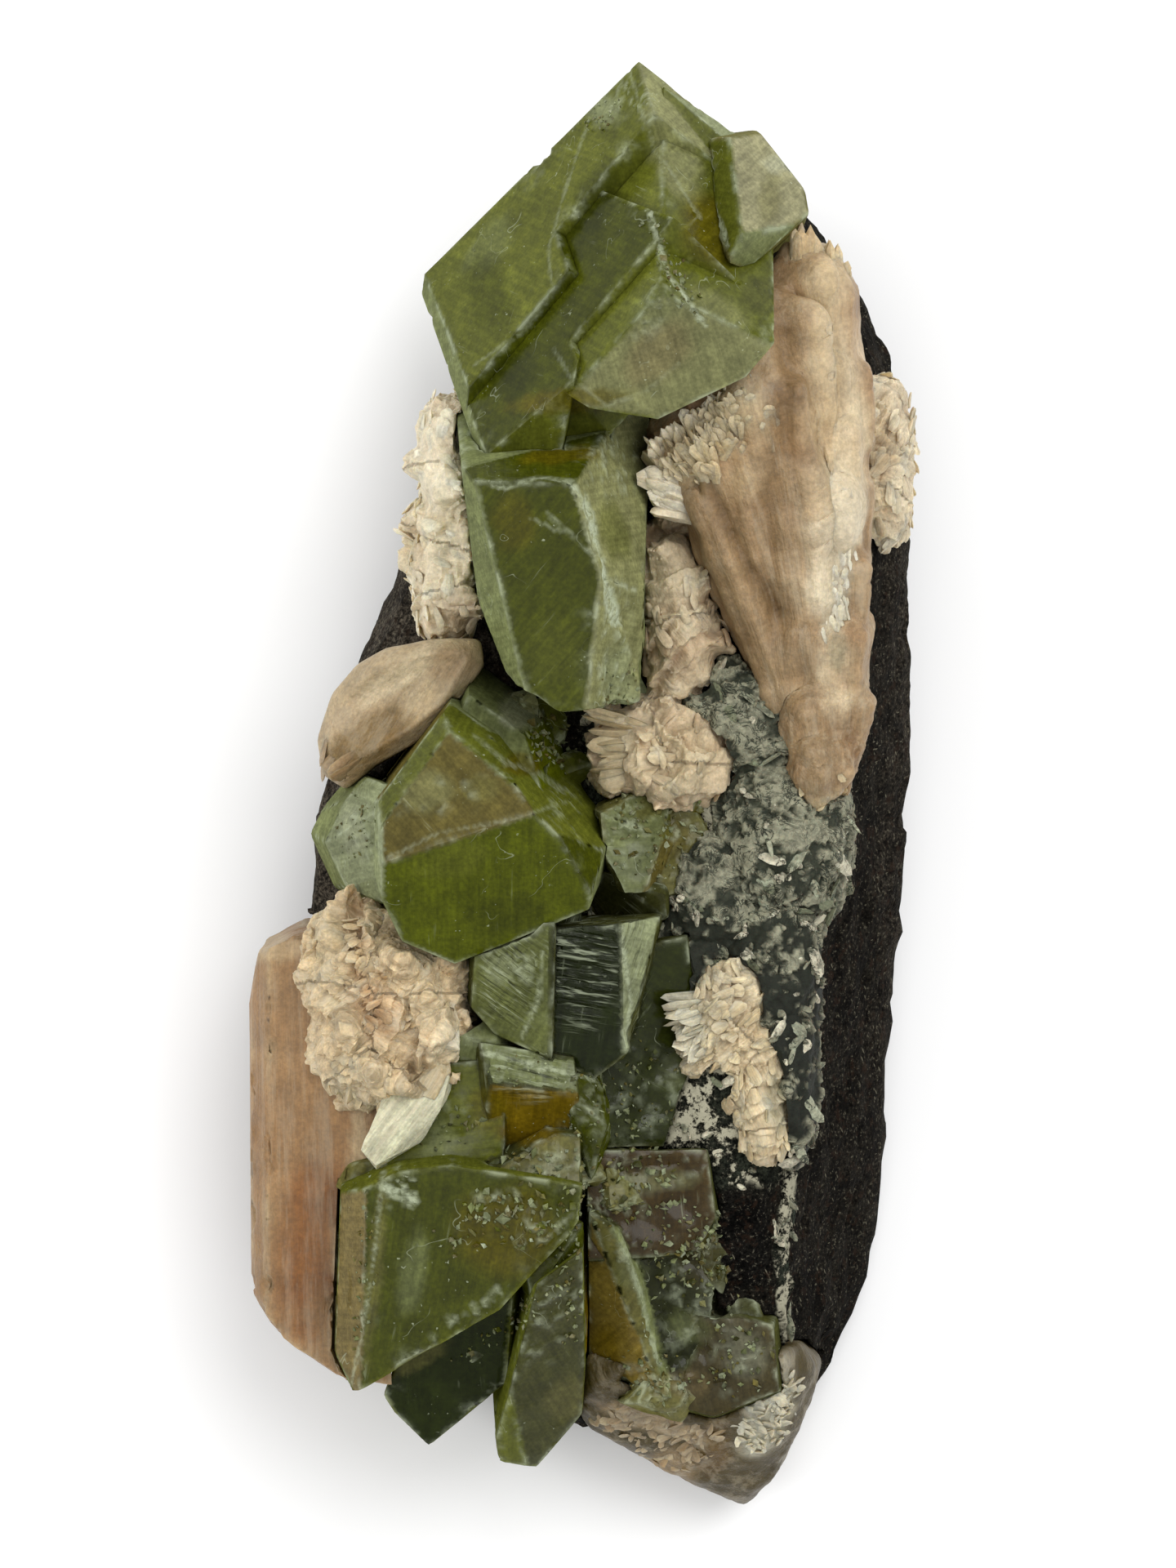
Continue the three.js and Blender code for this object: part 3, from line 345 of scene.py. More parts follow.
def hexagonal(low, high, pitch, random):
    x, y = np.meshgrid(np.arange(low[0], high[0] + pitch, pitch), np.arange(low[1], high[1] + pitch, pitch * ROW))
    x[1::2] += pitch / 2
    spots = np.stack([x.ravel(), y.ravel()], 1)
    return spots + random.uniform(-JITTER, JITTER, spots.shape) * pitch


def face_axes(normal):
    """Two directions in a face: the first level, the second down its slope."""
    level = np.cross(normal, (0, 0, 1.0))
    if np.linalg.norm(level) < 0.2:
        level = np.cross(normal, (0, 1.0, 0.3))
    level /= np.linalg.norm(level)
    return np.stack([level, np.cross(normal, level)], 1)


def outlines(points, tris, group, count):
    """The edges, those that go around each flat face, and which of them are ridges."""
    edges, sides = edges_of(tris)
    normal, _ = triangle_normals(points, tris)
    owners = [[] for _ in edges]
    for tri, three in enumerate(sides):
        for edge in three:
            owners[edge].append(tri)
    outline, ridge = [[] for _ in range(count)], {}
    for number, owner in enumerate(owners):
        groups = {group[t] for t in owner}
        if len(groups) < 2:
            continue
        first, second = owner[:2]
        apex = [v for v in tris[second] if v not in edges[number]]
        drop = (points[apex[0]] - points[edges[number][0]]) @ normal[first] if apex else 0
        ridge[number] = drop < 0 and normal[first] @ normal[second] < RIDGE
        for g in groups:
            outline[g].append(number)
    return edges, outline, ridge


def faceted(points, tris, fine, coarse, seed=0, lines=()):
    """Meshes each flat face anew, finer near its edges and near the given lines. Gives points,
    triangles, their outward direction, the distance to the nearest ridge, the number of the
    face each point is on, its place in that face, and the face that each old triangle is in."""
    random = np.random.default_rng(seed)
    group, count = flat_faces(points, tris)
    edges, outline, ridge = outlines(points, tris, group, count)
    normal, area = triangle_normals(points, tris)
    face_normal = np.zeros((count, 3))
    np.add.at(face_normal, group, normal * area[:, None])
    face_normal = unit(face_normal)
    samples = {}
    for number in {n for around in outline for n in around}:
        a, b = points[edges[number]]
        steps = max(1, int(math.ceil(np.linalg.norm(b - a) / fine)))
        samples[number] = a + (b - a) * np.linspace(0, 1, steps + 1)[:, None]
    found, start = [], 0
    for g in range(count):
        if not outline[g] or area[group == g].sum() < 10 * SLIVER:
            continue
        across = face_axes(face_normal[g])
        base = points[edges[outline[g][0]][0]]
        border, place = np.unique(np.vstack([samples[n] for n in outline[g]]), axis=0, return_inverse=True)
        place = place.reshape(-1).tolist()
        links, at = [], 0
        for n in outline[g]:
            size = len(samples[n])
            links += zip(place[at:at + size - 1], place[at + 1:at + size])
            at += size
        flat_border = (border - base) @ across
        loops = [(points[edges[n]] - base) @ across for n in outline[g]]
        sharp = [loop for loop, n in zip(loops, outline[g]) if ridge[n]]
        scale = HIDDEN_SCALE if face_normal[g][2] < DOWNWARD else 1
        flat = [flat_border]
        for pitch, detailed in ((fine, True), (coarse, False)):
            spots = hexagonal(flat_border.min(axis=0), flat_border.max(axis=0), pitch * scale, random)
            spots = spots[inside(spots, loops)]
            reach = reach_to(spots, loops)
            near = reach < RIM
            for line in lines:
                near |= line_distance(base + spots @ across.T, line) < MARK_REACH
            flat.append(spots[(near == detailed) & (reach > CLEARANCE * fine * detailed)])
        flat = np.vstack(flat)
        result = geometry.delaunay_2d_cdt([Vector(p) for p in flat], links, [], 0, 1e-6)
        kept = np.array([list(p) for p in result[0]])
        faces = np.array([f for f in result[2] if len(f) == 3], int).reshape(-1, 3)
        faces = faces[inside(kept[faces].mean(axis=1), loops)]
        ab, ac = kept[faces[:, 1]] - kept[faces[:, 0]], kept[faces[:, 2]] - kept[faces[:, 0]]
        turn = ab[:, 0] * ac[:, 1] - ab[:, 1] * ac[:, 0]
        up = np.cross(*across.T) @ face_normal[g]
        faces[turn * up < 0] = faces[turn * up < 0][:, ::-1]
        space = base + kept @ across.T
        for i, sources in enumerate(result[3]):
            on_border = [s for s in sources if s < len(border)]
            if on_border:
                space[i] = border[on_border[0]]
        number = np.full(len(space), g)
        in_face = np.column_stack([kept, FACE_STEP * number])
        found.append((space, faces + start, number, reach_to(kept, sharp), in_face))
        start += len(space)
    space, tri, face, reach, grain = (np.concatenate(rows) for rows in zip(*found))
    merged, place = np.unique(np.round(space, 5), axis=0, return_inverse=True)
    place = place.reshape(-1)
    outward = np.zeros_like(merged)
    np.add.at(outward, place, face_normal[face])
    nearest = np.full(len(merged), FAR)
    np.minimum.at(nearest, place, reach)
    on_face, in_face = np.zeros(len(merged), int), np.zeros((len(merged), 3))
    on_face[place], in_face[place] = face, grain
    return merged, whole(place[tri]), unit(outward), nearest, on_face, in_face, group


def chunk(place, size, turn, seed):
    """A broken block of crystal, closed and convex, about the given size in mm."""
    random = np.random.default_rng(seed)
    spots = random.normal(0, 1, (15, 3))
    spots /= np.abs(spots).max(axis=1)[:, None] ** 0.6 * np.linalg.norm(spots, axis=1)[:, None] ** 0.4
    spots *= np.array(size) / 2
    c, s = math.cos(math.radians(turn)), math.sin(math.radians(turn))
    spots = spots @ np.array([[c, s, 0], [-s, c, 0], [0, 0, 1]]) + place + SHIFT
    hull = bmesh.new()
    for spot in spots:
        hull.verts.new(spot)
    found = bmesh.ops.convex_hull(hull, input=hull.verts)
    loose = {item for item in found["geom_interior"] + found["geom_unused"] if isinstance(item, bmesh.types.BMVert)}
    bmesh.ops.delete(hull, geom=list(loose), context="VERTS")
    bmesh.ops.triangulate(hull, faces=hull.faces)
    hull.verts.index_update()
    points = np.array([v.co[:] for v in hull.verts])
    tris = np.array([[v.index for v in face.verts] for face in hull.faces])
    hull.free()
    normal, _ = triangle_normals(points, tris)
    inward = ((points[tris].mean(axis=1) - points.mean(axis=0)) * normal).sum(axis=1) < 0
    tris[inward] = tris[inward][:, ::-1]
    return points, tris


def scattered(points, tris, count, random, lowest=-0.2, share=1):
    """Random spots on a surface, and the direction that it faces there."""
    normal, area = triangle_normals(points, tris)
    weight = area * (normal[:, 2] > lowest) * share
    chosen = random.choice(len(tris), count, p=weight / weight.sum())
    u, v = random.random((2, count))
    over = u + v > 1
    u[over], v[over] = 1 - u[over], 1 - v[over]
    a, b, c = (points[tris[chosen, i]] for i in range(3))
    return a + (b - a) * u[:, None] + (c - a) * v[:, None], normal[chosen]


def splinters(points, tris, zone, density, size, random, seed):
    """Small closed splinters that stand on a surface inside a zone, so many to a square mm."""
    normal, area = triangle_normals(points, tris)
    share = zone_share(points[tris].mean(axis=1), *zone, seed)
    if share.max() == 0:
        return np.zeros((0, 3)), np.zeros((0, 3), int)
    count = int(density * (area * share * (normal[:, 2] > 0.1)).sum()) + 1
    spots, normal = scattered(points, tris, count, random, 0.1, share)
    shape = SPLINTER * random.uniform(0.4, 1.0, (count, 6, 1)) * random.uniform(0.25, 1.3, (count, 1, 3))
    turned = np.linalg.qr(random.normal(0, 1, (count, 3, 3)))[0]
    turned *= np.linalg.det(turned)[:, None, None]
    shape = np.einsum("nij,nkj->nki", turned, shape) * (0.5 * size * random.uniform(0.5, 1.5, (count, 1, 1)))
    made = shape + (spots + 0.15 * size * normal)[:, None]
    return made.reshape(-1, 3), (SPLINTER_TRIS + 6 * np.arange(count)[:, None, None]).reshape(-1, 3)


def grown_crystal(node, look, seed):
    """A crystal with the broken blocks that fill its corners, chipped edges, faces that aren't quite flat, etched
    lines, pale scars, pale edges and pale marks along edges that are partly painted glints, and splinters."""
    solid = solid_of(node)
    own, blocks = len(solid[1]), look.get("blocks", ())
    made = [chunk(*block[:3], seed + number) for number, block in enumerate(blocks)]
    wide, wide_tris = joined([solid] + made)
    marks = look.get("marks", ())
    points, tris, outward, reach, face, grain, group = faceted(
        wide, wide_tris, *CRYSTAL_MESH, seed, [line for line, *_ in marks])
    colours, start = np.tile(look["base"], (group.max() + 1, 1)), own
    for x, y, colour in look["faces"]:
        colours[face_under(solid[0], solid[1], group[:own], (x, y))] = colour
    for (_, t), block in zip(made, blocks):
        colours[group[start:start + len(t)]] = block[3]
        start += len(t)
    tint = zoned(points, colours[face], look.get("zones", ()), seed + 20)

    def strongest(kind, offset):
        shares = [amount * zone_share(points, *zone, seed + offset) for zone, amount in look.get(kind, ())]
        return np.max([np.zeros(len(points)), *shares], axis=0)

    bite = smooth(fractal(points, 1.7, 3, seed + 1), 0.15, 0.6) * smooth(noise(points, 7.0, seed + 2), -0.2, 0.6)
    chips = CHIP * bite * np.clip(1 - reach / RIM, 0, 1) + BEVEL * np.exp(-reach / BEVEL_WIDTH)
    rise = WAVE * fractal(points, 5.0, 3, seed + 3)
    broken = np.clip(bite, 0, 1) * np.exp(-reach / CHIP_WIDTH)
    # marks: pale lines along some edges, partly real chipping and partly painted glints
    for number, (line, width, strength, depth) in enumerate(marks):
        away = line_distance(points, line) + 0.9 * width * fractal(points, 1.6, 3, seed + 40 + number)
        share = 1 - smooth(away, 0.35 * width, width)
        broken = np.maximum(broken, strength * share)
        rise -= depth * share * (0.5 + fractal(points, 0.7, 2, seed + 60 + number))
    for number, (zone, amount) in enumerate(look.get("scarred", ())):
        flakes = smooth(fractal(points, 0.8, 3, seed + 110 + number, 0.7), 0.1, 0.32)
        share = amount * flakes * zone_share(points, *zone, seed)
        broken = np.maximum(broken, share)
        rise += SCAR * share
    etch = strongest("etched", 130)
    rise -= ETCH * etch * (1 - smooth(np.abs(fractal(grain * (0.1, 1, 1), 0.6, 2, seed + 140)), 0.0, 0.22))
    rise += strongest("rough", 150) * (fractal(points, 2.4, 3, seed + 160, 0.6) - 0.25)
    points = points + outward * (GROW + rise - chips)[:, None]
    # rim is the pale of the crystal's edges, partly painted glints
    attributes = {"tint": tint, "rim": np.exp(-reach / RIM_WIDTH), "broken": broken, "grain": grain, "etch": etch,
                  "clear": 0.05 + 0.25 * smooth(outward[:, 2], 0.15, 0.85)}
    random = np.random.default_rng(seed + 170)
    palette = np.array([look["base"], SAGE, SMOKY, PALE, BROWN])
    bare = points, tris
    for zone, density, size in look.get("splinters", ()):
        p, t = splinters(*bare, zone, density, size, random, seed)
        count = len(p) // 6
        shade = palette[random.integers(0, 5, count)] * random.uniform(0.6, 1.3, (count, 1))
        flaws = random.uniform(0, 0.7, count) * (random.random(count) < 0.4)
        more = {"tint": np.repeat(shade, 6, axis=0), "rim": np.full(len(p), 0.3), "broken": np.repeat(flaws, 6),
                "grain": p, "etch": np.zeros(len(p)), "clear": np.full(len(p), 0.25)}
        attributes = {key: np.concatenate([values, more[key]]) for key, values in attributes.items()}
        tris, points = np.vstack([tris, t + len(points)]), np.vstack([points, p])
    return points, tris, attributes


# ---- blades
SECTION = np.array([[-1, 0.1], [-0.55, 1], [0.5, 0.9], [1, -0.1], [0.5, -1], [-0.55, -0.9]])
PROFILE = np.array([[0, 0.55, 0.8], [0.4, 0.9, 1], [0.72, 1, 0.9], [0.9, 0.72, 0.65]])  # place, width, thickness
STATIONS = np.append(PROFILE[:, 0], 1.0)
BOW = 0.03  # how far a standing blade bends, by its length
OVERHANG = 0.25  # how much of a lying blade reaches past its spot


def swept(path, face, width, thick, random):
    """Closed blades swept along their paths. path is blades by stations by 3, its last station
    the tip; face is the direction that each blade's flat side looks in at each station. Gives
    points, triangles, each point's place along its blade, its blade's number and its grain."""
    count, stations, ring = len(path), len(PROFILE), len(SECTION)
    along = unit(np.gradient(path, axis=1))
    across = unit(np.cross(along, face))
    face = np.cross(across, along)
    w, t = (PROFILE[:, i] * size[:, None] / 2 for i, size in ((1, width), (2, thick)))
    uneven = 1 + random.uniform(-0.1, 0.1, (count, stations, ring))
    x = SECTION[:, 0] * w[..., None] * uneven
    y = SECTION[:, 1] * t[..., None] * uneven
    skew = random.uniform(-0.6, 0.6, count) * width / 2
    x[:, -1] += 0.6 * skew[:, None]
    middle, sideways, outward = (rows[:, :stations, None] for rows in (path, across, face))
    body = middle + x[..., None] * sideways + y[..., None] * outward
    ends = np.stack([path[:, 0], path[:, -1] + across[:, -1] * skew[:, None]], 1)
    points = np.concatenate([body.reshape(count, -1, 3), ends], 1)
    size, tris = stations * ring + 2, []
    for k in range(ring):
        n = (k + 1) % ring
        for j in range(0, (stations - 1) * ring, ring):
            tris += [(j + k, j + ring + n, j + n), (j + k, j + ring + k, j + ring + n)]
        tris += [(size - 2, k, n), (size - 1, size - 2 - ring + n, size - 2 - ring + k)]
    tris = (np.array(tris)[None] + size * np.arange(count)[:, None, None]).reshape(-1, 3)
    place = np.concatenate([np.repeat(PROFILE[:, 0], ring), [0, 1]])
    length = np.linalg.norm(path[:, -1] - path[:, 0], axis=1)[:, None]
    number = np.arange(count)
    grain = np.broadcast_arrays(
        np.pad(x.reshape(count, -1), ((0, 0), (0, 2))), place * length * 0.08, number[:, None] * BLADE_STEP)
    grain = np.stack(grain, -1).reshape(-1, 3)
    return points.reshape(-1, 3), tris, np.tile(place, count), np.repeat(number, size), grain


def onto(tree, points):
    """The nearest places on a surface, and the direction that it faces there."""
    hits = [tree.find_nearest(Vector(p)) for p in points]
    return np.array([h[0][:] for h in hits]), np.array([h[1][:] for h in hits])


def laid(tree, spots, heading, sizes, spreads, random, wander, tilt=0.35):
    """Blades that lie on a surface like shingles: each ends near its spot, pointing along its
    heading, and its tip stands off the surface. sizes are length, width, thickness and lift,
    and spreads say by how much each varies."""
    count = len(spots)
    length, width, thick, lift = (np.full(count, size) * (random.uniform(*spread, count) if spread else 1)
                                  for size, spread in zip(sizes, spreads))
    _, normal = onto(tree, spots)
    heading = heading + random.normal(0, wander, (count, 3))
    heading = unit(heading - (heading * normal).sum(axis=1)[:, None] * normal)
    path, face = [], []
    for s in STATIONS:
        reach = (s - 1 + OVERHANG) * length[:, None]
        on, up = onto(tree, spots + heading * np.minimum(reach, 0))
        height = lift * s ** 2 - 0.5 * thick * (1 - s)
        path.append(on + heading * np.maximum(reach, 0) + normal * height[:, None])
        face.append(up)
    side = np.cross(heading, normal)[:, None]
    face = np.stack(face, 1) + side * random.normal(0, tilt, (count, 1, 1))
    return swept(np.stack(path, 1), face, width, thick, random)


def catmull_rom(points, count):
    """count points spaced evenly along a smooth line through the given ones."""
    p = np.array(points, float)
    p = np.vstack([2 * p[0] - p[1], p, 2 * p[-1] - p[-2]])
    t = np.linspace(0, 1, 40, endpoint=False)[:, None]
    parts = [0.5 * (2 * b + (c - a) * t + (2 * a - 5 * b + 4 * c - d) * t ** 2 + (3 * b - a - 3 * c + d) * t ** 3)
             for a, b, c, d in zip(p[:-3], p[1:-2], p[2:-1], p[3:])]
    line = np.vstack([*parts, p[-2:-1]])
    step = np.concatenate([[0], np.cumsum(np.linalg.norm(np.diff(line, axis=0), axis=1))])
    return np.stack([np.interp(np.linspace(0, step[-1], count), step, axis) for axis in line.T], 1)


def crest(roots, tips, count, width, thick, seed):
    """Free blades from a line of roots to a line of tips, each turned at random on its length."""
    random = np.random.default_rng(seed)
    root = catmull_rom(roots, count) + SHIFT + random.normal(0, 0.25, (count, 3))
    tip = catmull_rom(tips, count) + SHIFT + random.normal(0, 0.3, (count, 3))
    along = (tip - root) * (1 + random.uniform(-0.24, 0.036, count))[:, None]
    width, thick = width * random.uniform(0.6, 1.3, count), thick * random.uniform(0.7, 1.3, count)
    s = STATIONS[None, :, None]
    side = unit(np.cross(along, random.normal(0, 1, root.shape)))[:, None]
    bow = BOW * np.linalg.norm(along, axis=1)[:, None, None] * 4 * s * (1 - s) * side
    path = root[:, None] + along[:, None] * s + bow
    return swept(path, np.repeat(side, len(STATIONS), 1), width, thick, random)


# ---- pieces
class Growth:
    """Closed meshes that grow together into one piece, with the tint and grain of each."""

    def __init__(self):
        self.parts, self.tints, self.grains = [], [], []

    def add(self, points, tris, tint, grain):
        self.parts.append((points, tris))
        self.tints.append(tint)
        self.grains.append(grain)

    def shape(self):
        points, tris = joined(self.parts)
        points[:, 2] = np.maximum(points[:, 2], TABLE)
        return points, tris, {"tint": np.vstack(self.tints), "grain": np.vstack(self.grains)}


def shown(name, data, place=(0, 0, 0)):
    """An object in the scene at a place in metres."""
    made = bpy.data.objects.new(name, data)
    made.location = place
    bpy.context.scene.collection.objects.link(made)
    return made


def piece(name, shape, material, replaces, sharp_angle=None):
    points, tris, attributes = shape
    tris = whole(tris)
    _, first, times = np.unique(np.sort(tris, axis=1), axis=0, return_index=True, return_counts=True)
    tris = tris[np.sort(first[times % 2 == 1])]  # without pairs that cover each other
    mesh = bpy.data.meshes.new(name)
    mesh.from_pydata((points * MM).tolist(), [], tris.tolist())
    mesh.polygons.foreach_set("use_smooth", np.ones(len(mesh.polygons), bool))
    if sharp_angle is not None:
        mesh.set_sharp_from_angle(angle=math.radians(sharp_angle))
    for key, values in attributes.items():
        kind, field = ("FLOAT", "value") if values.ndim == 1 else ("FLOAT_VECTOR", "vector")
        mesh.attributes.new(key, kind, "POINT").data.foreach_set(field, values.astype(np.float32).ravel())
    mesh.materials.append(material)
    made = shown(name, mesh)
    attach(made, "root")
    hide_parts(replaces)


# ---- materials
APOPHYLLITE_IOR, STILBITE_IOR = 1.536, 1.5
# the first colour is the pale of frosted chips and scars, and also of painted glints on edges and growth lines
FROST_AND_GLINT, ETCHED, DUST = linear(176, 184, 156), linear(30, 34, 18), matt(226, 214, 186)


class Paint:
    """A material whose patterns are set in millimetres."""

    def __init__(self, name):
        self.material = bpy.data.materials.new(name)
        self.material.use_nodes = True
        self.tree = self.material.node_tree
        self.tree.nodes.clear()
        self.shader = self.node("BsdfPrincipled", {})
        self.output = self.node("OutputMaterial", {"Surface": self.shader.outputs[0]})
        self.place = self.node("TexCoord", {}).outputs["Object"]

    def put(self, socket, value):
        if isinstance(value, bpy.types.NodeSocket):
            self.tree.links.new(value, socket)
        elif socket.type == "RGBA":
            socket.default_value = (*value, 1)
        else:
            socket.default_value = value

    def node(self, kind, inputs, **settings):
        """A node with its settings, and its inputs as values or as other nodes' outputs."""
        node = self.tree.nodes.new("ShaderNode" + kind)
        for key, value in settings.items():
            setattr(node, key, value)
        for key, value in inputs.items():
            self.put(node.inputs[key], value)
        return node

    def set(self, **inputs):
        for key, value in inputs.items():
            self.put(self.shader.inputs[key.replace("_", " ")], value)

    def attribute(self, name, output="Fac"):
        return self.node("Attribute", {}, attribute_name=name).outputs[output]

    def mapped(self, pitch, stretch=(1, 1, 1), turn=(0, 0, 0), place=None):
        """Places in steps of pitch mm, longer along an axis by stretch. place is a position in
        mm, or left out for the object's own."""
        step = pitch * (MM if place is None else 1)
        return self.node("Mapping", {
            "Vector": self.place if place is None else place, "Rotation": [math.radians(a) for a in turn],
            "Scale": [step * s for s in stretch]}, vector_type="TEXTURE").outputs[0]

    def noise(self, pitch, detail=2.0, rough=0.5, bend=0.0, **where):
        return self.node("TexNoise", {"Vector": self.mapped(pitch, **where), "Scale": 1, "Detail": detail,
                                      "Roughness": rough, "Distortion": bend}).outputs["Fac"]

    def cells(self, pitch, **where):
        return self.node("TexVoronoi", {"Vector": self.mapped(pitch, **where), "Scale": 1}).outputs["Distance"]

    def range(self, value, low, high, out_low=0.0, out_high=1.0):
        return self.node("MapRange", {"Value": value, "From Min": low, "From Max": high, "To Min": out_low,
                                      "To Max": out_high}, interpolation_type="SMOOTHSTEP").outputs["Result"]

    def math(self, operation, first, *others):
        for other in others:
            first = self.node("Math", {0: first, 1: other}, operation=operation).outputs[0]
        return first

    def times(self, a, b):
        return self.math("MULTIPLY", a, b)

    def contour(self, value, width):
        """A thin line where the value passes its middle."""
        return self.range(self.math("ABSOLUTE", self.math("SUBTRACT", value, 0.5), 0), 0, width, 1, 0)

    def mix(self, factor, a, b, blend="MIX"):
        return self.node("Mix", {0: factor, 6: a, 7: b}, data_type="RGBA", blend_type=blend).outputs[2]

    def shade(self, colour, value, dark, light, low=0.3, high=0.7):
        """The colour times a brightness that runs from dark to light as the value rises."""
        bright = self.range(value, low, high, dark, light)
        grey = self.node("CombineColor", {0: bright, 1: bright, 2: bright}).outputs[0]
        return self.mix(1.0, colour, grey, "MULTIPLY")

    def bump(self, height, distance, strength=0.9):
        """Relief of distance mm, added to what was set before."""
        node = self.node("Bump", {"Strength": strength, "Distance": distance * MM, "Height": height})
        normal = self.shader.inputs["Normal"]
        if normal.is_linked:
            self.put(node.inputs["Normal"], normal.links[0].from_socket)
        self.put(normal, node.outputs[0])


def apophyllite(name, absorbs, density):
    """Glassy crystal: a tinted body, clearer where it is darker, with clouds, fine growth lines, thin healed
    cracks, etched lines, pale scars, pale edges that are partly painted glints, and painted glints along some
    growth lines."""
    paint = Paint(name)
    grain, etch = paint.attribute("grain", "Vector"), paint.attribute("etch")
    lines = paint.noise(0.4, 3, 0.6, stretch=(1, 16, 1), place=grain)
    body = paint.attribute("tint", "Color")
    for value, dark, light, low, high in (
            (paint.noise(6, 3, 0.6), 0.88, 1.12, 0.3, 0.7),
            (paint.noise(0.6, 4, 0.7, stretch=(1, 2.5, 1), place=grain), 0.86, 1.15, 0.3, 0.7),
            (paint.noise(1.6, 4, 0.65), 0.9, 1.1, 0.32, 0.68),
            (paint.noise(0.3), 0.86, 1.14, 0.3, 0.7),
            (lines, 0.85, 1.16, 0.3, 0.7),
            (paint.noise(3.2, 4, 0.65), 1.0, 1.22, 0.5, 0.72)):
        body = paint.shade(body, value, dark, light, low, high)
    # painted glints: pale flecks along some of the growth lines
    lit = paint.times(paint.range(lines, 0.62, 0.74), paint.range(paint.noise(3.5), 0.5, 0.7, 0, 0.3))
    cracks = paint.contour(paint.noise(7, 3, bend=0.4), 0.003)
    cracks = paint.times(cracks, paint.range(paint.noise(4), 0.54, 0.62, 0, 0.4))
    specks = paint.range(paint.noise(0.35, 1), 0.72, 0.78, 0, 0.5)
    specks = paint.times(specks, paint.range(paint.noise(4), 0.45, 0.6))
    # pale edges, partly real frosting and partly painted glints where light catches an edge
    rim = paint.times(paint.attribute("rim"), paint.range(paint.noise(1.8, 4), 0.42, 0.68, 0, 0.6))
    broken = paint.times(paint.attribute("broken"), paint.range(paint.noise(0.6, 3), 0.3, 0.6, 0.3, 1))
    wave = paint.noise(0.36, 3, 0.6, 0.6, stretch=(9, 1, 1), place=grain)
    ledge = paint.times(paint.range(wave, 0.52, 0.66), paint.times(etch, 0.55))
    body = paint.mix(paint.times(paint.range(wave, 0.3, 0.48, 1, 0), etch), body, ETCHED)
    # the pale frost of chips, scars, cracks and etched ledges, together with the painted glints
    frost_and_glint = paint.math("MAXIMUM", broken, rim, lit, cracks, specks, ledge)
    paint.set(
        Base_Color=paint.mix(frost_and_glint, body, FROST_AND_GLINT), Roughness=paint.range(frost_and_glint, 0, 1, 0.2, 0.45),
        IOR=APOPHYLLITE_IOR, Specular_IOR_Level=0.0,
        Transmission_Weight=paint.times(paint.attribute("clear"), paint.range(frost_and_glint, 0, 0.8, 1, 0.25)))
    paint.bump(lines, 0.03, 0.7)
    paint.bump(paint.noise(0.7, 3, 0.6), 0.04, 0.6)
    paint.bump(paint.noise(2.6), 0.12, 0.5)
    paint.bump(paint.times(broken, paint.noise(0.5, 3, 0.7)), 0.3, 1.0)
    paint.bump(paint.times(etch, wave), 0.25, 1.0)
    volume = paint.node("VolumeAbsorption", {"Color": absorbs, "Density": density})
    paint.put(paint.output.inputs["Volume"], volume.outputs[0])
    return paint.material


def stilbite(name, silk):
    """Silky blades, striated along their length. silk is how smooth they are, 0 to 1."""
    paint = Paint(name)
    grain = paint.attribute("grain", "Vector")
    streaks, strands = paint.noise(0.16, 3, 0.6, place=grain), paint.noise(0.7, 4, 0.6, place=grain)
    body = paint.shade(paint.attribute("tint", "Color"), streaks, 0.78 + 0.16 * silk, 1.2 - 0.15 * silk)
    body = paint.shade(body, strands, 0.68 + 0.28 * silk, 1.32 - 0.28 * silk)
    body = paint.shade(body, paint.noise(2.6, 4, 0.65), 0.84, 1.14)
    body = paint.shade(body, paint.noise(0.35, 3, 0.7), 0.84, 1.14)
    dust = paint.range(paint.noise(1.3, 5, 0.72, place=grain), 0.46, 0.64, 0, 0.7 - 0.6 * silk)
    paint.set(
        Base_Color=paint.mix(dust, body, DUST),
        Roughness=paint.range(streaks, 0.3, 0.7, 0.62 - 0.24 * silk, 0.75 - 0.2 * silk),
        IOR=STILBITE_IOR, Specular_IOR_Level=0.35, Subsurface_Weight=0.3, Subsurface_Radius=(1.0, 0.6, 0.3),
        Subsurface_Scale=0.0009)
    for height, distance in ((streaks, 0.04), (strands, 0.16), (paint.noise(0.4, 4, 0.65), 0.1)):
        paint.bump(height, distance)
    return paint.material


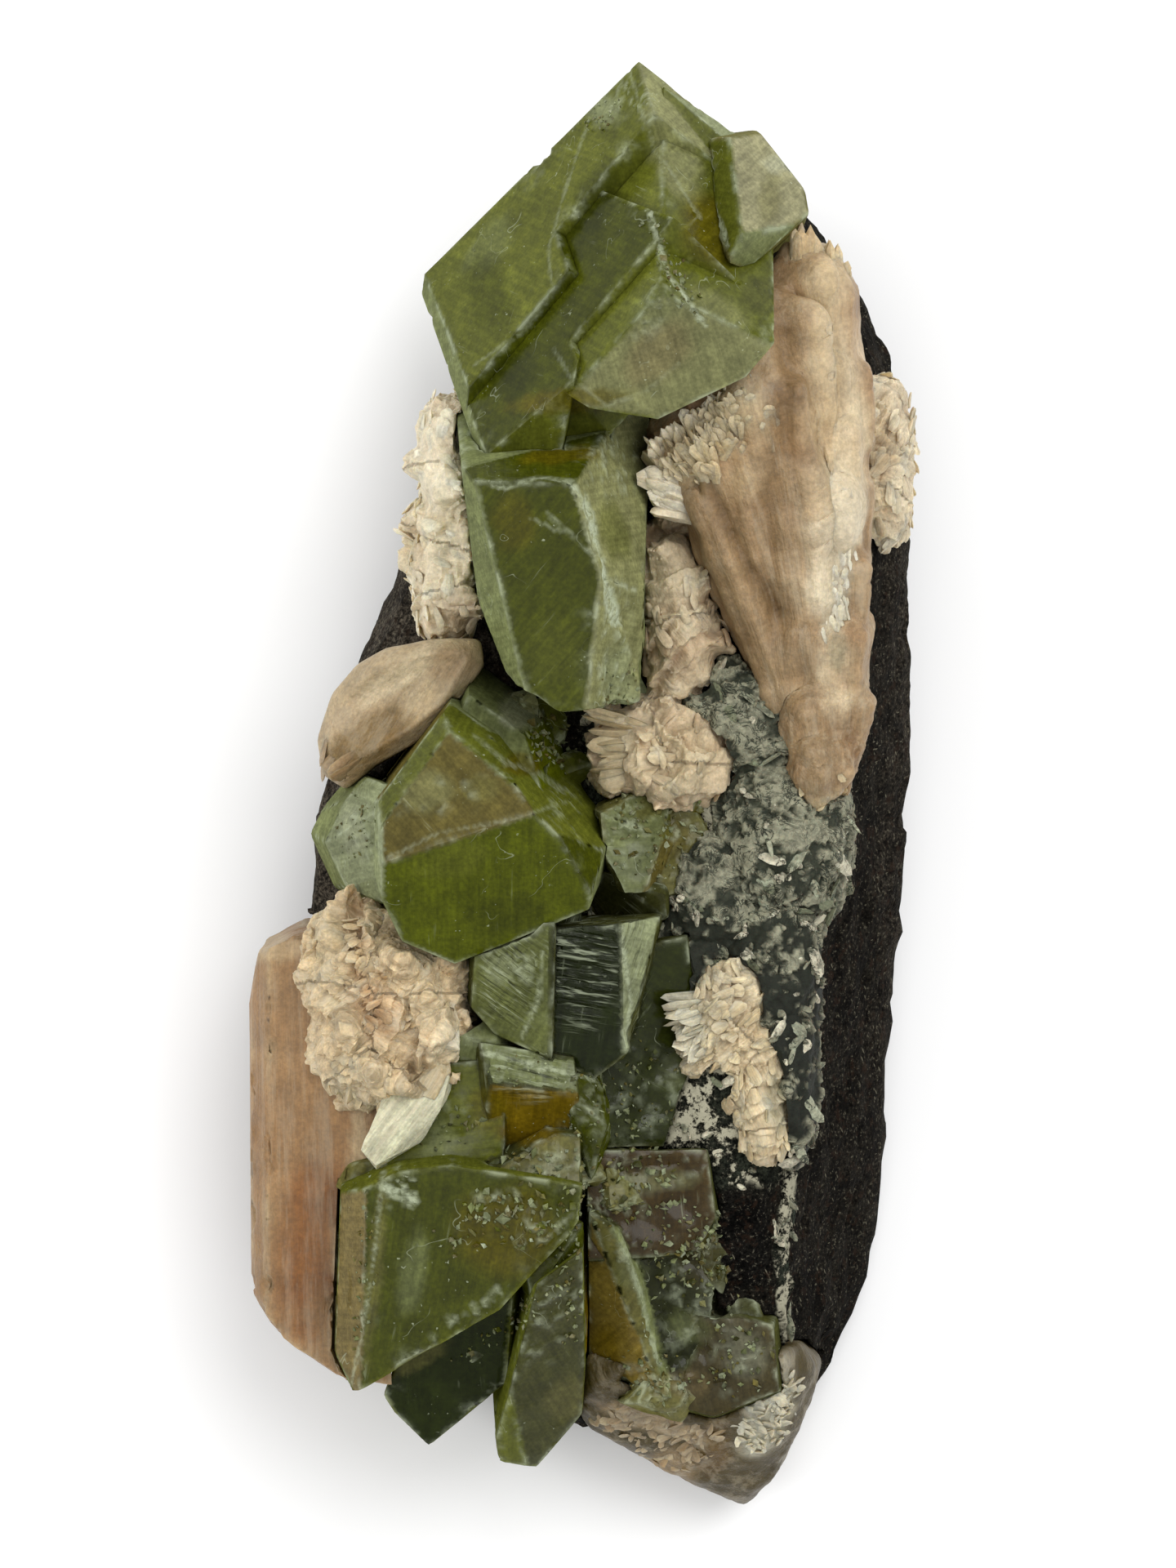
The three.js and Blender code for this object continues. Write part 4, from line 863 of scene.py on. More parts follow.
def basalt():
    """Dark fine-grained rock with small pale laths, and a pale net of crust where it is grown over."""
    paint = Paint("dark_basalt")
    grain = paint.noise(0.3, 4, 0.8)
    body = paint.shade(paint.attribute("tint", "Color"), grain, 0.2, 2.1, 0.36, 0.64)
    body = paint.shade(body, paint.noise(2.4, 4, 0.7), 0.5, 1.6, 0.35, 0.65)
    covered = paint.attribute("crust")
    bare = paint.math("SUBTRACT", 1.0, paint.range(covered, 0, 0.4))
    pale = paint.range(paint.noise(0.3, 3, 0.7), 0.6, 0.68, 0, 0.6)
    for pitch, stretch, turn, edge, patch, patch_turn in (
            (1.7, (0.22, 1.3, 0.6), (20, 10, 30), 0.16, 5, 0), (1.5, (1.2, 0.2, 0.6), (0, 25, 18), 0.15, 6, 50)):
        laths = paint.range(paint.cells(pitch, stretch=stretch, turn=turn), 0.1, edge, 0.9, 0)
        patches = paint.range(paint.noise(patch, turn=(0, 0, patch_turn)), 0.5, 0.58)
        pale = paint.math("MAXIMUM", pale, paint.times(laths, patches))
    body = paint.mix(paint.times(pale, bare), body, matt(120, 116, 100))
    rusty = paint.range(paint.noise(1.1, 4, 0.7), 0.54, 0.64, 0, 0.6)
    body = paint.mix(paint.times(rusty, bare), body, linear(40, 28, 20))
    patches = paint.range(paint.noise(3.4, 3), 0.3, 0.7, -0.12, 0.2)
    raised = paint.math("ADD", paint.noise(0.6, 5, 0.75), patches)
    net = paint.times(paint.range(raised, 0.52, 0.62), paint.range(covered, 0.1, 0.4))
    paint.set(Base_Color=paint.mix(net, body, matt(176, 172, 150)), Roughness=0.85, Specular_IOR_Level=0.04)
    paint.bump(grain, 0.14)
    paint.bump(paint.noise(1.3, 4, 0.7), 0.35)
    paint.bump(net, 0.3, 0.8)
    return paint.material


def zeolite():
    """The mottled crust: pale cells in a dark green-black net."""
    paint = Paint("zeolite_crust")
    body = paint.shade(paint.attribute("tint", "Color"), paint.noise(0.5, 4, 0.7), 0.6, 1.25)
    veins = paint.contour(paint.noise(1.5, 5, 0.7, 0.8), 0.05)
    veins = paint.times(veins, paint.range(paint.noise(2.6), 0.4, 0.55, 0.4, 1))
    paint.set(Base_Color=paint.mix(veins, body, linear(34, 38, 29)), Roughness=0.7, Specular_IOR_Level=0.2,
              Subsurface_Weight=0.1, Subsurface_Scale=0.0005)
    paint.bump(paint.noise(0.3, 4, 0.7), 0.12)
    return paint.material


# ---- the camera and the studio
def studio():
    data = bpy.data.cameras.new("camera")
    data.sensor_width, data.lens = SENSOR, LENS
    data.clip_start, data.clip_end = 0.05, 10
    bpy.context.scene.camera = shown("camera", data, (SHIFT[0] * MM, SHIFT[1] * MM, CAMERA_HEIGHT * MM))

    mesh = bpy.data.meshes.new("floor")
    corners = [(-FLOOR, -FLOOR, 0), (FLOOR, -FLOOR, 0), (FLOOR, FLOOR, 0), (-FLOOR, FLOOR, 0)]
    mesh.from_pydata(corners, [], [(0, 1, 2, 3)])
    floor = shown("floor", mesh)
    paint = Paint("floor_white")
    paint.set(Base_Color=(0.9, 0.9, 0.9), Roughness=0.9)
    mesh.materials.append(paint.material)

    for name, (place, across, power) in LAMPS.items():
        light = bpy.data.lights.new(name, "AREA")
        light.shape, light.size, light.energy = "DISK", across, power
        shown(name, light, place).rotation_euler = (-Vector(place)).to_track_quat("-Z", "Y").to_euler()
    world = bpy.data.worlds.new("studio")
    world.use_nodes = True
    nodes, links = world.node_tree.nodes, world.node_tree.links
    parts = nodes.new("ShaderNodeSeparateXYZ")
    links.new(nodes.new("ShaderNodeTexCoord").outputs["Generated"], parts.inputs[0])
    brightness = nodes.new("ShaderNodeMapRange")
    brightness.inputs["To Min"].default_value = SKY_HORIZON
    brightness.inputs["To Max"].default_value = SKY_ZENITH
    links.new(parts.outputs["Z"], brightness.inputs["Value"])
    links.new(brightness.outputs["Result"], nodes["Background"].inputs["Strength"])
    nodes["Background"].inputs["Color"].default_value = (1, 1, 1, 1)
    bpy.context.scene.world = world
    bpy.context.scene.view_settings.view_transform = "Standard"


studio()

# ---- apophyllite
DEEP, DARK = glassy(70, 74, 28), glassy(52, 55, 18)
OLIVE, VIVID, HONEY = glassy(92, 96, 46), glassy(84, 90, 28), glassy(92, 84, 20)
SMOKY, BROWN, AMBER = glassy(104, 101, 62), glassy(98, 90, 54), glassy(104, 88, 38)
SAGE, SILK, PALE = glassy(112, 118, 80), glassy(125, 126, 88), glassy(130, 136, 103)
MILK, CLOUD = glassy(144, 141, 108), glassy(160, 162, 138)
ROSE, GREYGREEN = glassy(104, 92, 66), glassy(70, 71, 47)

# faces: a place on a face and its colour. blocks: middle, size, turn, colour. marks: line, width,
# strength, depth. scarred, etched, rough: zone, amount. splinters: zone, number to a mm2, size.
# The colours of faces and zones are the crystals' own colours with painted light and shade in them: inner and
# recessed faces are darker as painted shade, and faces turned to the light paler as painted sheen.
CRYSTALS = {
    "apophyllite_crown": dict(
        slot="green_apophyllite", base=OLIVE,
        faces=[(-1.7, 35.2, DEEP), (2, 36.2, DEEP), (-10.5, 32.4, SAGE), (-4.4, 42.3, OLIVE), (3.2, 46.9, OLIVE),
            (6.2, 51.4, SILK), (-1.6, 40.2, DEEP), (-5.1, 34.1, DEEP), (9.1, 50.8, PALE), (6, 31.7, SILK),
            (3.5, 37.9, OLIVE), (9.1, 41, OLIVE), (-3.6, 26.8, OLIVE)],
        zones=[(6.6, 48, 1.9, 5.4, 17, SILK, 0.75), (9.6, 41.4, 2.6, 3.4, 20, HONEY, 0.8),
            (5.2, 32.2, 3.2, 2.2, 30, glassy(126, 114, 82), 0.5), (9.6, 35, 3, 1.6, -30, SILK, 0.5),
            (1.3, 51.4, 1.4, 1.6, 40, PALE, 0.7), (-7.6, 41.4, 3, 1.6, 50, SAGE, 0.4),
            (0.6, 44, 1.6, 4, -20, DARK, 0.5), (-7.5, 37.5, 2, 3.2, 20, DEEP, 0.6),
            (5, 35.6, 2.4, 1.2, 35, SAGE, 0.4), (-1.6, 28.8, 5, 0.9, 5, HONEY, 0.7),
            (-5.5, 31, 2, 2.2, 10, DARK, 0.5), (12.8, 36.5, 2, 1.6, 0, GREYGREEN, 0.6)],
        scarred=[((3, 52, 2.4, 2, 0), 0.5), ((-4, 47, 3, 1.4, 40), 0.12), ((5.4, 36, 4, 1.2, 60), 0.3)],
        splinters=[((6.4, 38.4, 1.1, 4.6, 25), 3.5, 0.5), ((0.9, 51.2, 1.8, 1.2, 40), 3, 0.4)],
        marks=[([(4.7, 42.9), (5.9, 37.9), (8.7, 34.3)], 0.3, 0.9, 0.35),
            ([(3.2, 54.6), (5, 48.2), (8.4, 42.6)], 0.16, 0.3, 0.1), ([(0, 50.3), (-1.8, 44.7), (-2.9, 40.5),
            (-2.6, 37.3), (-4.9, 34.3), (-8.5, 31.9)], 0.16, 0.28, 0.1), ([(-2.4, 32.6), (-1.2, 30.4),
            (1.4, 28.4), (4.2, 29.4), (6.8, 31.6)], 0.2, 0.25, 0.1)]),
    "apophyllite_crown_side": dict(
        slot="pale_apophyllite", base=SMOKY,
        faces=[(10.4, 44.6, OLIVE), (13.3, 45.2, MILK), (12.6, 40.6, SAGE)],
        zones=[(13.6, 44, 1, 2.6, -10, SMOKY, 0.5), (14.2, 47, 1.2, 0.8, 0, CLOUD, 0.5)],
        marks=[([(9, 49), (9.4, 44), (10.6, 40.4)], 0.35, 0.8, 0.25)]),
    "apophyllite_middle": dict(
        slot="green_apophyllite", base=SAGE,
        faces=[(-3.2, 15, DEEP), (-3.6, 24, DEEP), (-7.4, 15.2, SAGE), (2.2, 21.3, SILK), (2, 10.4, SILK),
            (-7.4, 24.9, SAGE)],
        zones=[(-2, 24.6, 3.4, 0.8, 5, HONEY, 0.8), (-2.5, 10, 2.4, 2.6, 0, OLIVE, 0.4),
            (-5.5, 19.5, 1.8, 2.4, 0, HONEY, 0.4), (2.4, 7.6, 1.5, 3.4, 0, PALE, 0.6),
            (1.8, 19, 1.2, 2.6, 15, OLIVE, 0.5), (0.2, 4.4, 2.4, 0.8, 0, CLOUD, 0.5)],
        blocks=[((-5.2, 5.4, 20), (3.4, 4, 7), 15, SILK), ((3.6, 8, 20), (3, 5, 7), 0, PALE),
            ((3, 23, 24), (3, 5, 8), 10, SILK)],
        scarred=[((1.6, 9, 2, 6, 0), 0.5), ((-5.4, 5.4, 2, 2.4, 0), 0.5), ((2, 24, 3, 2.4, 0), 0.5)],
        rough=[((2.8, 8.6, 2.2, 6, 0), 0.6), ((-5.2, 5.4, 2, 2.4, 0), 0.5)],
        splinters=[((-5, 5.4, 2, 2.2, 0), 2, 0.8), ((2.4, 6.6, 1.4, 4, 0), 2, 0.5),
            ((0.4, 4, 3.4, 0.8, 0), 2.5, 0.6)],
        marks=[([(-3.2, 20.3), (-1.2, 18.6), (0.6, 16.9)], 0.16, 0.4, 0.1),
            ([(-4.3, 19.9), (-2.2, 18.9)], 0.14, 0.3, 0.1), ([(-1.1, 22.4), (-0.3, 20.5), (0.5, 18.5),
            (1.3, 15.3), (2, 12.2)], 0.42, 1, 0.35), ([(-8.4, 22.7), (-6.1, 22.1), (-3.7, 22.8), (-1.1, 22.5)],
            0.2, 0.5, 0.2), ([(-10.1, 25.2), (-7.4, 25.4), (-4.5, 26.5)], 0.3, 0.4, 0.15)]),
    "apophyllite_roof": dict(
        slot="green_apophyllite", base=SAGE,
        faces=[(-7.9, -7.9, VIVID), (-10.4, -1.3, BROWN), (-8.6, 3.4, OLIVE), (-9.3, 5.4, OLIVE),
            (-0.3, -5.7, DEEP), (-2.4, -1.4, OLIVE), (0.9, -6.6, SAGE), (-15.8, -4.8, PALE), (-13.2, 1.2, OLIVE),
            (-13.3, 2.9, BROWN), (-6.5, 3.8, SAGE), (-3.2, 2.4, VIVID), (-6.4, 6.3, SAGE), (-17.5, -1.7, PALE),
            (-17.5, -5.5, PALE)],
        zones=[(-12, -0.6, 2.2, 1.6, 20, SILK, 0.5), (-6, -9.8, 4, 1.6, 15, DEEP, 0.6),
            (-10, -5.6, 3, 1.4, 10, OLIVE, 0.5), (-5, 1.4, 1.6, 1, 0, HONEY, 0.7),
            (-17.8, -3.6, 1.2, 2.4, 10, CLOUD, 0.3), (-8, -0.4, 1.6, 1.2, 0, SMOKY, 0.6),
            (-5.4, 5.6, 1.5, 1.7, -20, CLOUD, 0.6)],
        splinters=[((-2.2, 3.4, 3, 2.6, 0), 2, 0.7), ((-17.6, -3.6, 1.6, 3, 0), 2, 0.4)],
        blocks=[((-3.6, 4.4, 17), (6, 5, 8), 20, OLIVE), ((-0.6, 0.4, 18), (3.4, 5, 8), 0, OLIVE)],
        scarred=[((-17, -3.6, 1.6, 3, 0), 0.5), ((-10.6, -1, 3.4, 1.6, 10), 0.3), ((-2, -2, 1.4, 2.4, 0), 0.3)],
        marks=[([(-8.7, 3.6), (-6.1, 1.5), (-3.7, 0.6), (-2, -0.6)], 0.3, 0.3, 0.1), ([(-15.4, -5.8),
            (-11.1, -3.7), (-6.1, -2.8), (-1.8, -1.5)], 0.16, 0.3, 0.1),
            ([(-15.6, 0.6), (-15.6, -6)], 0.18, 0.35, 0.1)]),
    "apophyllite_shoulder": dict(
        slot="pale_apophyllite", base=SMOKY, rough=[((4.6, -4, 4.6, 4.6, 0), 0.6)],
        faces=[(3.2, -5.2, SAGE), (3.9, -2.2, SAGE), (5.4, -6.2, BROWN), (6.1, -3.4, OLIVE), (7, -5, SMOKY)],
        blocks=[((6.8, -1.6, 21), (5, 3.6, 8), 20, HONEY), ((2, -7.8, 20), (3.6, 3, 7), 0, SAGE)],
        scarred=[((3.2, -4, 2, 3, 0), 0.5), ((7, -4.6, 1.6, 2.6, 0), 0.5)],
        splinters=[((5.4, -3.8, 4, 4.6, 0), 2, 0.6)],
        zones=[(4.6, -1.8, 1.8, 1, 30, HONEY, 0.5), (6.8, -4, 1.4, 2, 0, BROWN, 0.6),
            (3, -6, 1.2, 1.6, 0, PALE, 0.5)]),
    "apophyllite_etched": dict(
        slot="green_apophyllite", base=GREYGREEN,
        faces=[(-5.3, -15.6, glassy(97, 102, 63)), (0, -16.2, glassy(46, 50, 8)), (3.5, -13.8, PALE),
            (-4.5, -21.7, glassy(102, 108, 72)), (-4.4, -24.9, AMBER), (4.6, -21.1, glassy(54, 58, 38)),
            (-10.7, -25.9, OLIVE), (-3, -28.4, SMOKY)],
        zones=[(-6.6, -14, 1.4, 1.2, 0, PALE, 0.6), (-4.4, -26.4, 2.6, 1.2, 5, AMBER, 0.8),
            (-11.6, -27, 1.8, 2.4, 0, PALE, 0.4), (7.6, -22.4, 2.4, 2, 0, SAGE, 0.5),
            (-3.5, -30.2, 2.2, 1.8, 0, CLOUD, 0.55), (4, -25, 2, 1.4, 20, DARK, 0.5),
            (-7.6, -25, 1.6, 2.2, 0, HONEY, 0.5)],
        blocks=[((2, -9.2, 23.6), (8.5, 5.4, 9), 12, GREYGREEN), ((-3.4, -10.2, 24), (6, 4.6, 9), -8, DARK),
            ((-8, -19.8, 24), (5.4, 5, 9), 20, SAGE), ((-0.1, -25.4, 25.4), (3.6, 10, 8), 4, DEEP),
            ((-15, -28.2, 22), (4, 3, 6), 20, OLIVE), ((-0.4, -29.6, 24.5), (3, 3.4, 7), 30, SMOKY),
            ((6.4, -26.6, 20), (6, 4, 6), 10, GREYGREEN)],
        etched=[((-0.2, -13.6, 3, 5.4, 0), 1), ((3.4, -14, 1.4, 6, 0), 0.6), ((-4.4, -22, 3.4, 2.2, 0), 0.8),
            ((-5.6, -14.6, 2.6, 4.2, 0), 0.85)],
        scarred=[((-5.2, -14, 2.4, 1.2, 0), 0.6), ((-4.4, -22.2, 3.2, 1.6, 0), 0.35),
            ((-11, -25, 2.6, 2, 0), 0.3), ((-3.6, -30, 3, 2.4, 0), 0.6), ((1.4, -24.6, 2.4, 3.4, 0), 0.35),
            ((5.6, -24, 3, 4, 0), 0.35)],
        splinters=[((-4, -29.8, 4.4, 2.4, 5), 2.5, 0.8), ((4.8, -24, 4, 4.6, 0), 2, 0.6),
            ((-4.4, -21.8, 3.4, 1.6, 0), 1.5, 0.4), ((-10.6, -26, 2.8, 3, 0), 1.5, 0.6),
            ((-0.4, -25.4, 1.6, 4.6, 0), 2, 0.5)],
        rough=[((-4, -30, 4, 3, 0), 1), ((4.6, -22, 4, 6, 0), 0.7), ((-11, -26, 3, 3.4, 0), 0.6)],
        marks=[([(-3.4, -12.7), (-3.7, -16.1), (-5, -19.2)], 0.22, 0.5, 0.1),
            ([(-7.7, -20.5), (-4.3, -21.4), (0.3, -22.5)], 0.35, 0.7, 0.2),
            ([(2.4, -10.8), (3.2, -16.6), (2.9, -20.2)], 0.25, 0.6, 0.1)]),
    "apophyllite_foot": dict(
        slot="green_apophyllite", base=OLIVE,
        faces=[(-10.5, -35.7, DEEP), (-18, -38.1, glassy(112, 100, 66)), (-10.4, -45.4, glassy(50, 55, 10)),
            (-2.9, -44.2, GREYGREEN), (-6, -50.2, OLIVE)],
        zones=[(-13.3, -37.2, 1.2, 3.6, -8, SAGE, 0.55), (-16.2, -37, 0.7, 8, -6, SMOKY, 0.6),
            (-6.4, -34.2, 4.4, 4, -20, HONEY, 0.65), (-13, -44, 3, 0.8, 30, SMOKY, 0.5),
            (-8.2, -50.6, 1.4, 1.6, -20, CLOUD, 0.5), (-2, -47, 1.6, 2.4, -20, SMOKY, 0.5)],
        blocks=[((-2.6, -36, 24.6), (7, 8, 12), 30, DEEP), ((-19, -38.4, 19.6), (2, 15, 5), -6, ROSE),
            ((-17, -30, 22.5), (5, 2.6, 5), 20, SMOKY), ((-8, -42, 20), (6, 4, 9), 30, DARK),
            ((-0.9, -38, 19), (1.6, 14, 8), 0, AMBER)],
        scarred=[((-5, -32.6, 5, 2.6, 10), 0.7), ((-14, -31, 1.6, 1.4, 0), 0.8), ((-3, -41, 2, 4, -20), 0.4),
            ((-8.6, -50.4, 1.6, 1.8, 0), 0.6), ((-9, -40, 4, 0.8, 35), 0.5)],
        rough=[((-4, -32.6, 5, 3, 10), 0.7), ((-17, -37, 1.4, 9, -6), 0.4)],
        splinters=[((-5.4, -32.8, 6.4, 2.6, 12), 2.5, 0.8), ((-6.5, -41.5, 5, 0.9, 38), 2.5, 0.5),
            ((-1.4, -37.5, 1, 6, 0), 2.5, 0.6), ((-16.8, -36, 0.9, 8, -6), 2, 0.45)],
        marks=[([(-15.5, -29.7), (-16.4, -37.2), (-18, -45.8)], 0.22, 0.45, 0.1),
            ([(-15.6, -30.4), (-13.4, -31.4)], 0.55, 0.8, 0.2), ([(-9, -50), (-8, -51.8)], 0.6, 0.9, 0.25)]),
    "apophyllite_amber": dict(
        slot="amber_apophyllite", base=GREYGREEN,
        faces=[(2.1, -41.4, glassy(122, 106, 56)), (3.1, -39, SMOKY), (5, -42, SAGE), (2.8, -35.6, SAGE),
            (4.9, -31.9, glassy(66, 56, 40)), (6.8, -40.2, glassy(50, 52, 34)),
            (10.6, -44.9, glassy(72, 66, 48))],
        zones=[(1.4, -43.6, 1.4, 2.4, 0, AMBER, 0.8), (3.2, -37.4, 1.6, 1.4, 0, SAGE, 0.4),
            (5.2, -30.4, 3.4, 0.9, 5, SILK, 0.4), (8, -42, 2, 1.4, -30, SAGE, 0.45),
            (12, -44, 1.8, 2.6, 0, CLOUD, 0.3), (7.4, -46.2, 2.4, 1.2, 0, ROSE, 0.6),
            (8.4, -36, 2.6, 2.6, 0, glassy(68, 60, 42), 0.4), (10.4, -40, 2.4, 2, 0, CLOUD, 0.15)],
        blocks=[((2, -30.6, 22), (4.6, 5, 9), 20, SMOKY), ((8.6, -36.8, 19), (6, 6, 8), -30, GREYGREEN),
            ((5, -46.6, 18), (7, 4, 7), -20, SMOKY), ((12.4, -41, 17), (4.4, 7, 6), 10, GREYGREEN)],
        scarred=[((2.4, -31, 2.6, 3.6, 0), 0.4), ((5.4, -29.4, 4, 1.4, 0), 0.4), ((8.2, -39, 3, 6, -20), 0.35),
            ((11.4, -45, 2.6, 3, 0), 0.45), ((3, -35.6, 2.4, 1.6, 0), 0.4), ((4.6, -46.4, 4, 1.6, -20), 0.5)],
        splinters=[((8.6, -36.2, 4.8, 4, -20), 2.5, 0.7), ((3.8, -31, 4.4, 3, 10), 2.5, 0.7),
            ((11.4, -44.5, 3.4, 3.4, 0), 2.5, 0.6), ((5, -45.6, 4.4, 2, -20), 2, 0.6)],
        rough=[((8.6, -41, 5, 8, -20), 1.2), ((4.6, -31, 4.4, 3.6, 0), 0.8), ((4, -46, 4, 2, -20), 0.8)],
        marks=[([(2.6, -35.4), (4, -39), (5.6, -44.6)], 0.22, 0.5, 0.1)]),
}
GLASS = {
    "green_apophyllite": apophyllite("olive_apophyllite", (0.62, 0.72, 0.12), 260),
    "pale_apophyllite": apophyllite("pale_apophyllite", (0.70, 0.74, 0.40), 140),
    "amber_apophyllite": apophyllite("amber_apophyllite", (0.72, 0.62, 0.20), 180),
}
for number, (node, look) in enumerate(CRYSTALS.items()):
    piece(node.replace("apophyllite", "crystal"), grown_crystal(node, look, 100 + 100 * number),
          GLASS[look["slot"]], node, sharp_angle=22)

# ---- stilbite
CREAM, IVORY, BEIGE = matt(198, 178, 140), matt(222, 206, 172), matt(196, 170, 130)
PEACH, PINK, FAWN = matt(156, 128, 92), matt(184, 160, 128), matt(152, 128, 94)
TAN, COCOA, SALMON = matt(134, 106, 72), matt(108, 84, 54), matt(150, 116, 78)
MOSS, CHALK = matt(100, 106, 82), matt(206, 200, 176)
WHITE, PALEST = matt(236, 226, 200), matt(248, 234, 206)
CREASE_SHADE = np.array([0.30, 0.42, 0.50])  # painted shade: how much darker each colour is in a deep crease
SKIN_MESH, PLATE_MESH, CURVED_MESH = 0.25, 0.3, 0.45  # mesh sizes, mm
CURVED_GROW = 0.2  # a smooth mass grows by this, mm
# By how much blades vary in length, width, thickness and lift: on a fibrous mass, and on a smooth one.
FIBROUS = ((0.6, 1.4), (0.6, 1.4), (0.7, 1.3), (0.2, 1.6))
SPARSE = ((0.6, 1.4), (0.6, 1.4), None, (0.4, 1.6))


def remeshed(points, tris, voxel):
    """One skin over overlapping closed meshes, its triangles about voxel mm in size."""
    mesh = bpy.data.meshes.new("raw")
    mesh.from_pydata(points.tolist(), [], tris.tolist())
    raw = shown("raw", mesh)
    modifier = raw.modifiers.new("skin", "REMESH")
    modifier.mode, modifier.voxel_size = "VOXEL", voxel
    skin = raw.evaluated_get(bpy.context.evaluated_depsgraph_get()).to_mesh()
    corners, faces = arrays_of(skin)
    bpy.data.objects.remove(raw)
    bpy.data.meshes.remove(mesh)
    return corners.astype(float), faces


def flowing(points, sheaves):
    """How far along its sheaf each point is, its place across the fibres, and the direction of
    the fibres. A sheaf is (middle, flow): its fibres run along flow, or out from its middle
    where flow is a radius."""
    middles = np.array([middle for middle, _ in sheaves]) + SHIFT
    nearest = np.linalg.norm(points[:, None] - middles[None], axis=2).argmin(axis=1)
    along, across, heading = np.zeros(len(points)), np.zeros_like(points), np.zeros_like(points)
    for number, (_, flow) in enumerate(sheaves):
        mine = nearest == number
        p = points[mine]
        if np.ndim(flow):
            flow = np.array(flow, float) / np.linalg.norm(flow)
            side = np.cross(flow, (0, 0, 1.0))
            side /= np.linalg.norm(side)
            along[mine] = p @ flow
            across[mine] = np.stack([p @ side, 0.7 * (p @ np.cross(side, flow)), 0 * along[mine]], 1)
            heading[mine] = flow
        else:
            away = p - middles[number]
            along[mine] = np.linalg.norm(away, axis=1)
            heading[mine] = away / np.maximum(along[mine], 1e-6)[:, None]
            across[mine] = heading[mine] * flow
        across[mine] += SHEAF_STEP * number
    return along, across, heading


def layered(points, along, across, pitch, drop, seed):
    """The height of overlapping sheets whose ragged edges face along the flow, and how near
    each point is to such an edge, 0 to 1."""
    fibres = across + 0.12 * along[:, None]
    shift = 1.2 * fractal(points, 4.5, 3, seed) + 0.35 * fractal(fibres, 0.7, 2, seed + 1, 0.6)
    phase = (along + shift) / pitch
    part = phase - np.floor(phase)
    height = drop * part ** 1.4 * (1 - smooth(part, 0.9, 1.0))
    return height, part ** 2 * (1 - smooth(part, 0.94, 1.0))


def bladed(blades, base, zones, random, seed):
    """Blades with their tint: darker at the root as painted shade, paler at the tip as a painted highlight, each a
    little different.
    """
    points, tris, place, number, grain = blades
    count = number.max() + 1
    # painted shade at each blade's root and a painted highlight at its tip, over a random tone for each blade
    tone = random.normal(1.0, 0.06, count)[number] * (0.8 + 0.2 * smooth(place, 0.0, 0.6))
    pale = random.uniform(0.0, 0.5, count)[number] * smooth(place, 0.35, 1.0)
    tint = zoned(points, base, zones, seed) * tone[:, None]
    return points, tris, blended(tint, pale, IVORY), grain


def sizes_of(layer):
    """What laid() takes as sizes."""
    return [layer[key] for key in ("length", "width", "thick", "lift")]


